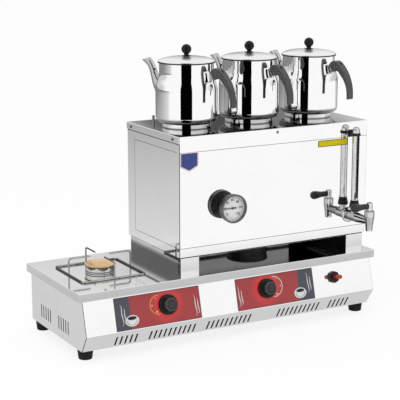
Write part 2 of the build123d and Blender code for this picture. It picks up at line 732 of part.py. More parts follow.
# Sight glass in its slotted guard, on the tap's port
port_axis = Axis((tap_x, port_y, 0), (0, 0, 1))
nut_top, glass_r, guard_r, guard_bore = 312.0, 6.5, 9.2, 8.0
slot_low, slot_high = 318.0, 482.0
with BuildPart() as gauge_nut:
    with BuildSketch(upright(tap_x, port_y)):
        with BuildLine():
            Polyline(
                (4, port_top + gap),
                (13.5, port_top + gap),
                (13.5, port_top + 4),
                (10, nut_top),
                (glass_r + 0.05, nut_top),
                (glass_r + 0.05, port_top + 4),
                (4, port_top + 4),
                close=True,
            )
        make_face()
    revolve(axis=port_axis)
save(gauge_nut.part, "gauge_nut")

with BuildPart() as gauge_glass:
    with BuildSketch(upright(tap_x, port_y)):
        with Locations((glass_r - 1, (port_top + 4 + gauge_top - 11) / 2)):
            Rectangle(2, gauge_top - 11 - port_top - 4 - gap)
    revolve(axis=port_axis)
save(gauge_glass.part, "gauge_glass")

with BuildPart() as gauge_guard:
    with BuildSketch(upright(tap_x, port_y)):
        with BuildLine():
            Line((guard_bore, nut_top + gap), (guard_r, nut_top + gap))
            Line((guard_r, nut_top + gap), (guard_r, gauge_top - guard_r))
            CenterArc((0, gauge_top - guard_r), guard_r, 0, 90)
            Line((0, gauge_top), (0, gauge_top - guard_r + guard_bore))
            CenterArc((0, gauge_top - guard_r), guard_bore, 0, 90)
            Line((guard_bore, gauge_top - guard_r), (guard_bore, nut_top + gap))
        make_face()
    revolve(axis=port_axis)
    with BuildSketch(Plane.XZ.offset(-port_y)):
        with Locations((tap_x, (slot_low + slot_high) / 2)):
            SlotOverall(slot_high - slot_low, 8.5, rotation=90)
    extrude(amount=guard_r + 1, mode=Mode.SUBTRACT)
save(gauge_guard.part, "gauge_guard")

with BuildPart() as gauge_clip:
    with BuildSketch(Plane.XY.offset(slot_high - 2)):
        with Locations((tap_x, port_y)):
            Circle(11.5)
        with Locations((tap_x, port_y + gauge_reach / 2)):
            Rectangle(8, gauge_reach - 2 * gap)
        with Locations((tap_x, port_y)):
            Circle(guard_r + 0.1, mode=Mode.SUBTRACT)
    extrude(amount=7)
    with BuildSketch(front_plane(tap_x, slot_high + 1.5, gap)):
        RectangleRounded(14, 18, 2)
    extrude(amount=1.6)
save(gauge_clip.part, "gauge_clip")

# Dial thermometer with its probe in the tank
with BuildPart() as thermometer_case:
    with BuildSketch(barrel(dial_x, dial_z)):
        with BuildLine():
            Polyline(
                (dial_back, 0),
                (dial_back, dial_r - 1),
                (dial_face - 3, dial_r - 1),
                (dial_face - 3, dial_r),
                (dial_face - 1, dial_r),
                (dial_face, dial_r - 1.5),
                (dial_face, dial_r - 4.5),
                (dial_face - 1.2, dial_r - 4.5),
                (dial_face - 1.2, dial_r - 2),
                (dial_back + 1.2, dial_r - 2),
                (dial_back + 1.2, 0),
                close=True,
            )
        make_face()
    revolve(axis=Axis((dial_x, boiler_front, dial_z), (0, -1, 0)))
save(thermometer_case.part, "thermometer_case")

glass_back = dial_face - 2.8
save(ring(dial_x, dial_z, 1.6, dial_r - 2.2, dial_back + 2.5, dial_back + 3.3), "thermometer_dial")

with BuildPart() as thermometer_glass:
    with BuildSketch(front_plane(dial_x, dial_z, glass_back)):
        Circle(dial_r - 2.1)
    extrude(amount=1.5)
save(thermometer_glass.part, "thermometer_glass")

pointer_out = dial_back + 4.6
with BuildPart() as thermometer_pointer:
    with BuildSketch(front_plane(dial_x, dial_z, pointer_out)):
        Polygon((-25, 0), (-20, 0.7), (0, 1.2), (8, 1.6), (8, -1.6), (0, -1.2), (-20, -0.7), align=None)
        Circle(3)
        with Locations((8, 0)):
            Circle(2.2)
    extrude(amount=0.6)
    with BuildSketch(front_plane(dial_x, dial_z, dial_back + 1.6)):
        Circle(1.5)
    extrude(amount=pointer_out - dial_back - 1)
    with BuildSketch(front_plane(dial_x, dial_z, pointer_out)):
        Circle(2.5)
    extrude(amount=1.6)
save(thermometer_pointer.part, "thermometer_pointer")

with BuildPart() as thermometer_stem:
    with BuildSketch(barrel(dial_x, dial_z)):
        with BuildLine():
            Polyline(
                (-80, 0),
                (-80, 4),
                (-wall_depth - 3, 4),
                (-wall_depth - 3, 6.2),
                (gap, 6.2),
                (gap, 9),
                (dial_back - gap, 7),
                (dial_back - gap, 0),
                close=True,
            )
        make_face()
    revolve(axis=Axis((dial_x, boiler_front, dial_z), (0, -1, 0)))
    with BuildSketch(front_plane(dial_x, dial_z, gap)):
        RegularPolygon(12, 6)
    extrude(amount=11)
save(thermometer_stem.part, "thermometer_stem")


def half_outline(inset):
    """Half of a pot's section from the middle of its bottom to its rim, with its wall moved in."""
    with BuildSketch(Plane.XZ) as half_section:
        with BuildLine():
            foot = Polyline(
                (0, neck_top),
                (0, inset - step),
                (step_r - inset, inset - step),
                (step_r - inset, inset + gap),
                (foot_r - inset, inset + gap),
                (foot_r - inset, foot_rise + inset),
                (belly_r - base_round, foot_rise + inset),
            )
            CenterArc((belly_r - base_round, belly_low), base_round - inset, -90, 90)
            Line((belly_r - inset, belly_low), (belly_r - inset, belly_high))
            shoulder = JernArc((belly_r - inset, belly_high), (0, 1), shoulder_r - inset, shoulder_turn)
            neck = JernArc(shoulder @ 1, shoulder % 1, shoulder_r + inset, -shoulder_turn)
            Polyline(neck @ 1, (neck_r - inset, neck_top), foot @ 0)
        make_face()
    return half_section.sketch


# Teapot spout: round sections along a line that swings up, and an oval mouth. Each section is
# (out, up, radius, direction out, direction up)
spout_sections = (
    (60.0, 66.0, 21.0, 0.72, 0.69),
    (81.7, 87.0, 16.5, 0.70, 0.71),
    (97.4, 108.0, 12.0, 0.55, 0.83),
    (106.0, 128.0, 9.5, 0.40, 0.92),
    (112.5, 142.0, 9.0, 0.48, 0.88),
    (122.0, 154.0, 9.5, 0.70, 0.71),
)
mouth_plane = Plane(origin=(-132, 0, 161), x_dir=(0, 1, 0), z_dir=(-0.31, 0, 0.95))


def spout(inset):
    """The spout as one solid, with its wall moved in by a distance."""
    with BuildPart() as horn:
        for out, up, section_r, along, rise in spout_sections:
            with BuildSketch(Plane(origin=(-out, 0, up), x_dir=(0, 1, 0), z_dir=(-along, 0, rise))):
                Circle(section_r - inset)
        with BuildSketch(mouth_plane):
            Ellipse(9.6 - inset, 11.6 - inset)
        loft()
    return horn.part


outer_spout = spout(0)
strainer_z, strainer_pitch, strainer_r = 81.0, 6.0, 1.6
with BuildPart() as hollow:
    add(spout(wall))
    with BuildSketch(Plane.XZ):
        add(half_outline(0))
    revolve(axis=Axis.Z, mode=Mode.SUBTRACT)
spout_hollow = hollow.part

# Teapot: a drop-in step and foot ring under a straight belly, a drawn-in neck, the spout, whose root
# has a punched strainer, and a bracket whose tang holds the handle
socket_low, socket_high = (92.3, 124.5), (81.5, 142.1)
tang_plane = Plane(
    origin=((socket_low[0] + socket_high[0]) / 2, 0, (socket_low[1] + socket_high[1]) / 2),
    x_dir=(0, 1, 0),
    z_dir=(socket_high[1] - socket_low[1], 0, socket_low[0] - socket_high[0]),
)
with BuildPart() as pot:
    with BuildSketch(Plane.XZ):
        add(half_outline(0))
    revolve(axis=Axis.Z)
    add(outer_spout)
    with BuildSketch(Plane.XZ):
        Polygon((neck_r - 2, 114), socket_low, socket_high, (neck_r - 2, 138), align=None)
    extrude(amount=8.5, both=True)
    with BuildSketch(tang_plane):
        Rectangle(11, 12)
    extrude(amount=14)
    with BuildSketch(Plane.XZ):
        add(half_outline(wall))
    revolve(axis=Axis.Z, mode=Mode.SUBTRACT)
    add(spout_hollow, mode=Mode.SUBTRACT)
    with BuildSketch(mouth_plane):
        Ellipse(9.6 - wall, 11.6 - wall)
    extrude(amount=2, mode=Mode.SUBTRACT)
    # the strainer: rows of holes through the belly's wall inside the spout's root
    with BuildSketch(Plane.YZ.offset(-belly_r - 2)):
        for row in range(-2, 3):
            with Locations((0, strainer_z + row * strainer_pitch)):
                with GridLocations(2 * strainer_pitch / 3**0.5, 1, 3 - row % 2, 1):
                    Circle(strainer_r)
    extrude(amount=4, mode=Mode.SUBTRACT)

# Handle: a moulded strap that rises from the bracket and hangs down beside the belly
with BuildPart() as pot_handle:
    with BuildSketch(Plane.XZ):
        with BuildLine():
            hump = ThreePointArc((81.9, 143.4), (97.5, 152.9), (110, 148.9))
            drop = TangentArc(hump @ 1, (148.4, 58.5), tangent=hump % 1)
            inside = FilletPolyline((144.2, 57.7), (141.8, 96), (111.5, 127.8), (92.9, 124.7), radius=(60, 5))
            Line(drop @ 1, inside @ 0)
            Line(inside @ 1, hump @ 0)
        make_face()
    extrude(amount=11, both=True)
    # the outer edges are rounded more than the inner ones
    for edge_r, curves in ((3, (hump, drop)), (1.5, inside.edges())):
        middles = [Vector((curve @ 0.5).X, side * 11, (curve @ 0.5).Y) for curve in curves for side in (-1, 1)]
        fillet([pot_handle.edges().sort_by_distance(middle)[0] for middle in middles], radius=edge_r)
    with BuildSketch(tang_plane):
        Rectangle(11.3, 12.3)
    extrude(amount=14.5, mode=Mode.SUBTRACT)
    with BuildSketch(Plane(origin=(116, 0, 147.2), x_dir=(0.436, 0, -0.9), z_dir=(-0.9, 0, -0.436))):
        SlotOverall(9, 5)
    extrude(amount=9, mode=Mode.SUBTRACT)

# Lid with a plain rim, a shallow dome and a skirt inside the pot's neck
lid_rest, lid_edge, skirt = neck_top + gap, 3.3, 8.0
lid_inner_r = lid_r - 6
with BuildPart() as pot_lid:
    with BuildSketch(Plane.XZ):
        with BuildLine():
            rim = Polyline(
                (0, lid_rest - skirt),
                (neck_r - wall - 0.3, lid_rest - skirt),
                (neck_r - wall - 0.3, lid_rest),
                (lid_r, lid_rest),
                (lid_r, lid_rest + lid_edge),
            )
            EllipticalCenterArc((0, lid_rest + lid_edge), lid_r, lid_dome, 0, arc_size=90)
            Line((0, lid_rest + lid_edge + lid_dome), rim @ 0)
        make_face()
    revolve(axis=Axis.Z)
    with BuildSketch(Plane.XZ):
        with BuildLine():
            Polyline(
                (0, lid_rest + lid_edge),
                (0, lid_rest - skirt),
                (lid_inner_r, lid_rest - skirt),
                (lid_inner_r, lid_rest + lid_edge),
            )
            EllipticalCenterArc((0, lid_rest + lid_edge), lid_inner_r, lid_dome - wall, 0, arc_size=90)
            Line((0, lid_rest + lid_edge + lid_dome - wall), (0, lid_rest + lid_edge))
        make_face()
    revolve(axis=Axis.Z, mode=Mode.SUBTRACT)
    with Locations((0, 0, lid_rest)):
        Cylinder(2.2, 40, mode=Mode.SUBTRACT)

with BuildPart() as lid_knob:
    dome_top = lid_rest + lid_edge + lid_dome
    with BuildSketch(Plane.XZ):
        with BuildLine():
            stem = Polyline(
                (0, dome_top - 8),
                (2.1, dome_top - 8),
                (2.1, dome_top + gap),
                (11.5, dome_top + gap),
                (11.5, dome_top + 1.2),
                (6, dome_top + 2.2),
                (6, ball_z - (ball_r**2 - 36) ** 0.5),
            )
            ThreePointArc(stem @ 1, (ball_r, ball_z), (0, ball_z + ball_r))
            Line((0, ball_z + ball_r), stem @ 0)
        make_face()
    revolve(axis=Axis.Z)

for number, ((x, y), turn) in enumerate(zip(seats, pot_turns), start=1):
    place = Location((x, y, lid_top), (0, 0, turn))
    save(pot.part.moved(place), f"pot_body_{number}")
    save(pot_handle.part.moved(place), f"pot_handle_{number}")
    save(pot_lid.part.moved(place), f"pot_lid_{number}")
    save(lid_knob.part.moved(place), f"lid_knob_{number}")
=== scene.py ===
from math import cos, radians, sin

import bpy
from mathutils import Matrix, Vector


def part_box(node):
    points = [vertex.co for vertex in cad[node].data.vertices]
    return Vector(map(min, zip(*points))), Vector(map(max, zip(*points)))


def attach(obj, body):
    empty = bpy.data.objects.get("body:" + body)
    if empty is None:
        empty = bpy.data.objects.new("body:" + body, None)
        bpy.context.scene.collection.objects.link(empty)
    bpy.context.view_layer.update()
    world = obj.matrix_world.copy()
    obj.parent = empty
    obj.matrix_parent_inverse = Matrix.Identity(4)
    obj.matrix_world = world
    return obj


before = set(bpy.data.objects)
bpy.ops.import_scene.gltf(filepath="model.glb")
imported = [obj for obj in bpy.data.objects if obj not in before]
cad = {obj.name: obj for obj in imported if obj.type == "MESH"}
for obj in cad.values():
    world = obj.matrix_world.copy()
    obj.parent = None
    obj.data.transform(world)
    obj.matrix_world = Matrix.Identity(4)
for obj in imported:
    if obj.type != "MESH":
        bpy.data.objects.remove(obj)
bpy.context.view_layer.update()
print("frame loaded,", len(cad), "nodes")

# Camera
cameraSet = {"place": (-1.5696, -2.7380, 1.0160), "turn": (77.63, 0.0, -29.42), "lens": 114.54}
bpy.ops.object.camera_add(location=cameraSet["place"], rotation=[radians(a) for a in cameraSet["turn"]])
camera = bpy.context.object
camera.data.lens = cameraSet["lens"]
bpy.context.scene.camera = camera
bpy.context.scene.view_settings.view_transform = "Standard"


# Node helpers
def addNode(tree, kind, inputs=None, **settings):
    node = tree.nodes.new(kind)
    for name, value in settings.items():
        setattr(node, name, value)
    for key, value in (inputs or {}).items():
        if isinstance(value, bpy.types.NodeSocket):
            tree.links.new(value, node.inputs[key])
        else:
            node.inputs[key].default_value = value
    return node


def calc(tree, operation, *values):
    return addNode(tree, "ShaderNodeMath", dict(enumerate(values)), operation=operation).outputs[0]


def ramp(tree, value, low, high, outLow=0.0, outHigh=1.0, smooth=False):
    node = addNode(
        tree,
        "ShaderNodeMapRange",
        {"Value": value, "From Min": low, "From Max": high, "To Min": outLow, "To Max": outHigh},
        interpolation_type="SMOOTHSTEP" if smooth else "LINEAR",
    )
    return node.outputs[0]


def vectorCalc(tree, operation, first, second=(0, 0, 0), output="Vector"):
    return addNode(tree, "ShaderNodeVectorMath", {0: first, 1: second}, operation=operation).outputs[output]


def split(tree, vector):
    return addNode(tree, "ShaderNodeSeparateXYZ", {0: vector}).outputs


def distanceAlong(tree, vector, direction):
    return vectorCalc(tree, "DOT_PRODUCT", vector, direction, "Value")


def facesAlongX(tree, normal, least=0.7):
    return calc(tree, "GREATER_THAN", calc(tree, "ABSOLUTE", split(tree, normal)["X"]), least)


def mixNumbers(tree, factor, first, second):
    return addNode(tree, "ShaderNodeMix", {0: factor, 2: first, 3: second}, data_type="FLOAT").outputs[0]


def blendColours(tree, factor, first, second, mode="MIX"):
    inputs = {0: factor, 6: first, 7: second}
    return addNode(tree, "ShaderNodeMix", inputs, data_type="RGBA", blend_type=mode).outputs[2]


def grey(value, warmth=0.0):
    return (value * (1 + warmth), value, value * (1 - warmth), 1)


white = grey(1)


def newGroup(name, inputs, outputs):
    group = bpy.data.node_groups.new(name, "ShaderNodeTree")
    kinds = {"vector": "NodeSocketVector", "colour": "NodeSocketColor", "number": "NodeSocketFloat"}
    for label, kind in inputs:
        group.interface.new_socket(label, in_out="INPUT", socket_type=kinds[kind])
    for label, kind in outputs:
        group.interface.new_socket(label, in_out="OUTPUT", socket_type=kinds[kind])
    return group, addNode(group, "NodeGroupInput").outputs, addNode(group, "NodeGroupOutput")


finishInputs = [
    ("Vector", "vector"),
    ("Normal", "vector"),
    ("Light", "colour"),
    ("Dark", "colour"),
    ("Smooth", "number"),
    ("Rough", "number"),
    ("Fineness", "number"),
    ("Wipes", "number"),
]
finishOutputs = [("Colour", "colour"), ("Roughness", "number"), ("Height", "number")]


def finishFromMarks(group, inlet, outlet, lines, share):
    # lines are the fine marks, and the wipes are the wide faint patches that handling leaves
    noise = {"Vector": inlet["Vector"], "Scale": inlet["Wipes"], "Detail": 4.0, "Distortion": 0.8}
    wipes = ramp(group, addNode(group, "ShaderNodeTexNoise", noise).outputs[0], 0.38, 0.66, smooth=True)
    wipes = calc(group, "MULTIPLY", wipes, 1 - share)
    marks = calc(group, "ADD", calc(group, "MULTIPLY", lines, share), wipes)
    colour = blendColours(group, marks, inlet["Light"], inlet["Dark"])
    span = {"Value": marks, "To Min": inlet["Smooth"], "To Max": inlet["Rough"]}
    roughness = addNode(group, "ShaderNodeMapRange", span).outputs[0]
    group.links.new(colour, outlet.inputs["Colour"])
    group.links.new(roughness, outlet.inputs["Roughness"])
    group.links.new(lines, outlet.inputs["Height"])


# Rolled and polished sheet: hair lines that run along each sheet
sheetGrain, inlet, outlet = newGroup("sheetGrain", finishInputs, finishOutputs)
hairsAlongX, hairsAlongY = (0.02, 1.0, 1.0), (1.0, 0.02, 1.0)
stretch = addNode(
    sheetGrain,
    "ShaderNodeMix",
    {0: facesAlongX(sheetGrain, inlet["Normal"]), 4: hairsAlongX, 5: hairsAlongY},
    data_type="VECTOR",
).outputs[1]
hairs = addNode(
    sheetGrain,
    "ShaderNodeTexNoise",
    {
        "Vector": vectorCalc(sheetGrain, "MULTIPLY", inlet["Vector"], stretch),
        "Scale": inlet["Fineness"],
        "Detail": 3.0,
        "Roughness": 0.65,
    },
).outputs[0]
finishFromMarks(sheetGrain, inlet, outlet, ramp(sheetGrain, hairs, 0.3, 0.7), 0.4)

# Turned and spun metal: rings about the piece's own upright axis
turnedGrain, inlet, outlet = newGroup("turnedGrain", finishInputs, finishOutputs)
flat = vectorCalc(turnedGrain, "MULTIPLY", inlet["Vector"], (1, 1, 0))
radius = vectorCalc(turnedGrain, "LENGTH", flat, output="Value")
heading = split(turnedGrain, vectorCalc(turnedGrain, "NORMALIZE", flat))
drift = 0.002  # how far a ring wanders in a full turn
ringVector = addNode(
    turnedGrain,
    "ShaderNodeCombineXYZ",
    {
        "X": radius,
        "Y": split(turnedGrain, inlet["Vector"])["Z"],
        "Z": calc(turnedGrain, "MULTIPLY", heading["X"], drift),
    },
).outputs[0]
sway = calc(turnedGrain, "MULTIPLY", calc(turnedGrain, "MULTIPLY", heading["Y"], drift), inlet["Fineness"])
rings = addNode(
    turnedGrain,
    "ShaderNodeTexNoise",
    {"Vector": ringVector, "W": sway, "Scale": inlet["Fineness"], "Detail": 3.0, "Roughness": 0.6},
    noise_dimensions="4D",
).outputs[0]
finishFromMarks(turnedGrain, inlet, outlet, ramp(turnedGrain, rings, 0.3, 0.7), 0.55)

# Moulded plastic, rubber, paint and cast metal: a fine even pebble
mouldedGrain, inlet, outlet = newGroup("mouldedGrain", finishInputs, finishOutputs)
pebble = addNode(
    mouldedGrain,
    "ShaderNodeTexNoise",
    {"Vector": inlet["Vector"], "Scale": inlet["Fineness"], "Detail": 2.0, "Roughness": 0.5},
).outputs[0]
finishFromMarks(mouldedGrain, inlet, outlet, ramp(mouldedGrain, pebble, 0.32, 0.68), 0.45)


def newMaterial(name, metallic=0.0, **sockets):
    made = bpy.data.materials.new(name)
    made.use_nodes = True
    shader = made.node_tree.nodes["Principled BSDF"]
    shader.inputs["Metallic"].default_value = metallic
    for label, value in sockets.items():
        shader.inputs[label.replace("_", " ")].default_value = value
    return made, made.node_tree, shader


def surface(name, grain, look, metallic=0.0, centre=(0, 0, 0), where=None, other=None, shade=None):
    # where picks the places, from Object coordinates, that have the other tint and roughness
    # and shade is a mask with the tint that it brings on the sides that face along X
    made, tree, shader = newMaterial(name, metallic)
    place = addNode(tree, "ShaderNodeTexCoord").outputs["Object"]
    normal = addNode(tree, "ShaderNodeNewGeometry").outputs["Normal"]
    local = place
    if any(centre):
        mapping = {"Vector": place, "Location": centre}
        local = addNode(tree, "ShaderNodeMapping", mapping, vector_type="TEXTURE").outputs[0]
    finish = addNode(tree, "ShaderNodeGroup", node_tree=grain)
    tree.links.new(local, finish.inputs["Vector"])
    tree.links.new(normal, finish.inputs["Normal"])
    for label in ("Light", "Dark", "Smooth", "Rough", "Fineness", "Wipes"):
        finish.inputs[label].default_value = look[label.lower()]
    colour, roughness = finish.outputs["Colour"], finish.outputs["Roughness"]
    if where:
        mask = where(tree, place)
        tinted = blendColours(tree, 1.0, colour, other["tint"], "MULTIPLY")
        colour = blendColours(tree, mask, colour, tinted)
        rougher = calc(tree, "ADD", roughness, other["extraRoughness"])
        roughness = mixNumbers(tree, mask, roughness, rougher)
    if "outline" in look:
        # painted shade: darker towards the piece's outline, where polished metal turns away from the white
        # studio
        start, end, tint = look["outline"]
        turned = addNode(tree, "ShaderNodeLayerWeight", {"Blend": 0.5}).outputs["Facing"]
        rim = blendColours(tree, ramp(tree, turned, start, end, smooth=True), white, tint)
        colour = blendColours(tree, 1.0, colour, rim, "MULTIPLY")
    if shade:
        mask, tint = shade
        onSide = calc(tree, "MULTIPLY", mask(tree, place), facesAlongX(tree, normal))
        shaded = blendColours(tree, onSide, white, tint)
        colour = blendColours(tree, 1.0, colour, shaded, "MULTIPLY")
    shader.inputs["Specular IOR Level"].default_value = look.get("specular", 0.5)
    tree.links.new(colour, shader.inputs["Base Color"])
    tree.links.new(roughness, shader.inputs["Roughness"])
    relief = {"Height": finish.outputs["Height"], "Strength": 1.0, "Distance": look["relief"]}
    tree.links.new(addNode(tree, "ShaderNodeBump", relief).outputs[0], shader.inputs["Normal"])
    return made


def dress(material, *names):
    for name in names:
        for slot in cad[name].material_slots:
            slot.material = material


# Masks: places on a piece, picked from Object coordinates
def above(level):
    return lambda tree, place: calc(tree, "GREATER_THAN", split(tree, place)["Z"], level)


def below(level):
    return lambda tree, place: calc(tree, "LESS_THAN", split(tree, place)["Z"], level)


def reachFrom(tree, place, point, direction):
    return distanceAlong(tree, vectorCalc(tree, "SUBTRACT", place, point), direction)


def beyond(point, direction, reach):
    # everything past a plane that stands square to a direction
    return lambda tree, place: calc(tree, "GREATER_THAN", reachFrom(tree, place, point, direction), reach)


def fading(point, direction, start, end):
    # grows from nothing to full between two distances past a plane
    return lambda tree, place: ramp(tree, reachFrom(tree, place, point, direction), start, end, smooth=True)


def nearAxis(point, direction, inner, outer):
    # a ring between two distances from an axis
    def mask(tree, place):
        offset = vectorCalc(tree, "SUBTRACT", place, point)
        reach = vectorCalc(tree, "CROSS_PRODUCT", offset, direction)
        reach = vectorCalc(tree, "LENGTH", reach, output="Value")
        inside = calc(tree, "LESS_THAN", reach, outer)
        return calc(tree, "MULTIPLY", inside, calc(tree, "GREATER_THAN", reach, inner))

    return mask


def faintly(mask, share):
    return lambda tree, place: calc(tree, "MULTIPLY", mask(tree, place), share)


def combined(operation, masks):
    def mask(tree, place):
        found = masks[0](tree, place)
        for other in masks[1:]:
            found = calc(tree, operation, found, other(tree, place))
        return found

    return mask


def allOf(*masks):
    return combined("MULTIPLY", masks)


def anyOf(*masks):
    return combined("MAXIMUM", masks)


def insideOf(sides, skin):
    # sides are points and outward directions of the flat sides of a shell
    return allOf(*[beyond(point, tuple(-c for c in outward), skin) for point, outward in sides])


# Steel sheets: polished outside, with painted shade on their inner sides and in their recesses
mirrorLook = {
    "light": grey(0.955, -0.002),
    "dark": grey(0.925, -0.003),
    "smooth": 0.02,
    "rough": 0.045,
    "fineness": 900.0,
    "wipes": 9.0,
    "relief": 0.0000002,
}
cabinetLook = dict(mirrorLook, light=grey(0.94, -0.002), dark=grey(0.90, -0.003), smooth=0.04, rough=0.08)
trayLook = dict(mirrorLook, light=grey(0.80, -0.002), dark=grey(0.74, -0.003), smooth=0.05, rough=0.10)
satinLook = dict(mirrorLook, light=grey(0.62), dark=grey(0.50), smooth=0.24, rough=0.36, relief=0.000004)
tankLook = dict(satinLook, smooth=0.08, rough=0.16)
floorPlateShade = {"tint": grey(0.16), "extraRoughness": 0.35}
paintedShadeBlack = {"tint": grey(0.04), "extraRoughness": 0.4}
creaseShade = {"tint": grey(0.13), "extraRoughness": 0.1}
tankFootShade = {"tint": grey(0.12), "extraRoughness": 0.02}
lidBandDark = {"tint": grey(0.30), "extraRoughness": 0.02}
# the tray's lip is brushed and rougher, and carries a faint painted shade
brushedLipShade = {"tint": grey(0.97), "extraRoughness": 0.12}

skin = 0.00016  # deeper than this under a sheet's face lie its folds, creases, cuts and inner side

# Cabinet, with its sloping control panel and the kick under it
panelSet = {
    "origin": (0.0, -0.1295, 0.1505),  # the middle of its upper edge
    "slope": 14.6,
    "face": 0.0009,  # how far the control plates' faces stand off it
}
cabinetSet = {
    "side": 0.414,
    "back": 0.183,
    "kick": (0, -0.15113, 0.06747),
    "kickNormal": (0, -0.840, -0.543),
    "floorTop": 0.0268,
    "trayLip": 0.1692,
}
panelSlope = radians(panelSet["slope"])
panelNormal = (0, -cos(panelSlope), sin(panelSlope))
cabinetSides = [
    ((cabinetSet["side"], 0, 0), (1, 0, 0)),
    ((-cabinetSet["side"], 0, 0), (-1, 0, 0)),
    ((0, cabinetSet["back"], 0), (0, 1, 0)),
    (panelSet["origin"], panelNormal),
    (cabinetSet["kick"], cabinetSet["kickNormal"]),
]
# painted shade: the inside of the cabinet, seen through its slots, is darkened to near black
inCabinet = insideOf(cabinetSides, skin)
cabinetSteel = surface("cabinetSteel", sheetGrain, cabinetLook, 1.0, where=inCabinet, other=paintedShadeBlack)
floorTop, trayLip = above(cabinetSet["floorTop"]), below(cabinetSet["trayLip"])
# painted shade: the floor plate's top, inside the cabinet, is darkened
floorSteel = surface("floorSteel", sheetGrain, satinLook, 1.0, where=floorTop, other=floorPlateShade)
traySteel = surface("traySteel", sheetGrain, trayLook, 1.0, where=trayLip, other=brushedLipShade)

# Stand: painted shade inside and on its upper edge, and painted shade darker down its ends
standSet = {"edge": 0.2125, "inner": 0.2124, "shadeFrom": 0.2175, "shadeDepth": 0.024, "shade": grey(0.13)}
standLow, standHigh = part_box("boiler_stand")
standSides = [
    ((standHigh.x, 0, 0), (1, 0, 0)),
    ((standLow.x, 0, 0), (-1, 0, 0)),
    ((0, standHigh.y, 0), (0, 1, 0)),
    ((0, standLow.y, 0), (0, -1, 0)),
]
inStand = allOf(insideOf(standSides, skin), below(standSet["inner"]))
standShade = fading((0, 0, standSet["shadeFrom"]), (0, 0, -1), 0.0, standSet["shadeDepth"])
standSteel = surface(
    "standSteel",
    sheetGrain,
    cabinetLook,
    1.0,
    where=anyOf(inStand, above(standSet["edge"])),
    other=paintedShadeBlack,
    shade=(standShade, standSet["shade"]),
)

# Boiler: painted shade in the creases, a painted shadow line under the lid's skirt, and a darker band on
# the lid's top between the ends
boilerSet = {
    "left": -0.1454,
    "right": 0.4086,
    "front": -0.11225,
    "back": 0.16765,
    "underSkirt": (0.4936, 0.4966),
    "tankFoot": 0.2200,
    "bandLeft": (-0.17, -0.07),
    "bandRight": (0.41, 0.26),
    "lidFace": 0.0005,
}
casingEnds = [((boilerSet["right"], 0, 0), (1, 0, 0)), ((boilerSet["left"], 0, 0), (-1, 0, 0))]
casingSides = [
    *casingEnds,
    ((0, boilerSet["front"], 0), (0, -1, 0)),
    ((0, boilerSet["back"], 0), (0, 1, 0)),
]
skirtLow, skirtHigh = boilerSet["underSkirt"]
# painted shade in the casing's creases, folds and inner side, and a painted shadow line under the lid's
# skirt on the ends
onEnds = anyOf(*[beyond(point, outward, -skin) for point, outward in casingEnds])
creases = anyOf(insideOf(casingSides, skin), allOf(onEnds, above(skirtLow), below(skirtHigh)))
boilerSteel = surface("boilerSteel", sheetGrain, mirrorLook, 1.0, where=creases, other=creaseShade)
# painted shade on the tank's foot, in the bay under the boiler
tankFoot = below(boilerSet["tankFoot"])
innerSteel = surface("innerSteel", sheetGrain, tankLook, 1.0, where=tankFoot, other=tankFootShade)
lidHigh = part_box("boiler_lid")[1]
bandLeft, bandRight = boilerSet["bandLeft"], boilerSet["bandRight"]
# a darker band on the lid's top, fading out towards both ends
lidTop = allOf(
    above(lidHigh.z - boilerSet["lidFace"]),
    fading((bandRight[0], 0, 0), (-1, 0, 0), 0.0, bandRight[0] - bandRight[1]),
    fading((bandLeft[0], 0, 0), (1, 0, 0), 0.0, bandLeft[1] - bandLeft[0]),
)
lidSteelSheet = surface("lidSteelSheet", sheetGrain, mirrorLook, 1.0, where=lidTop, other=lidBandDark)
dress(boilerSteel, "boiler_casing")
dress(lidSteelSheet, "boiler_lid")
dress(standSteel, "boiler_stand")
dress(cabinetSteel, "base_cabinet")
dress(traySteel, "base_tray")
dress(innerSteel, "water_tank")
dress(floorSteel, "base_floor")

# Teapots
potLook = {
    "light": grey(0.955),
    "dark": grey(0.93),
    "smooth": 0.012,
    "rough": 0.03,
    "fineness": 1500.0,
    "wipes": 22.0,
    "relief": 0.0000001,
    "outline": (0.62, 0.97, grey(0.30)),
}
potLidLook = dict(potLook, light=grey(0.88), dark=grey(0.82), smooth=0.26, rough=0.32, relief=0.0000012)
potLidLook["outline"] = (0.97, 1.0, grey(0.8))
potSet = {
    "skirt": 0.0113,  # the lid's skirt, up to the lower edge of its rim
    "spout": (0.0790, 0.3),  # its span from the pot's axis
    "spoutShade": 0.62,
    "stepShade": (0.0290, 0.0210, 0.0120),  # above the boiler's lid: its start, its full depth and its end
    "ringShade": (0.0035, 0.0015),
}
# painted shade on the lid's skirt, under its rim, where it sits in the pot
lidGapShade = {"tint": grey(0.05), "extraRoughness": 0.1}
handleLook = {
    "light": grey(0.060),
    "dark": grey(0.044),
    "smooth": 0.32,
    "rough": 0.46,
    "fineness": 1400.0,
    "wipes": 30.0,
    "relief": 0.00002,
}
ballLook = dict(handleLook, light=grey(0.008), dark=grey(0.005), smooth=0.16, rough=0.26, relief=0.000004)
ballLook["specular"] = 0.22
footAndSpoutShade = {"tint": grey(0.28), "extraRoughness": 0.03}  # painted shade and reflection in bands on the foot, over the hot lid, and on the spout
handlePlastic = surface("handlePlastic", mouldedGrain, handleLook)
ballPlastic = surface("ballPlastic", mouldedGrain, ballLook)
stepTop, stepFull, stepEnd = (lidHigh.z + level for level in potSet["stepShade"])
ringTop, ringFull = (lidHigh.z + level for level in potSet["ringShade"])
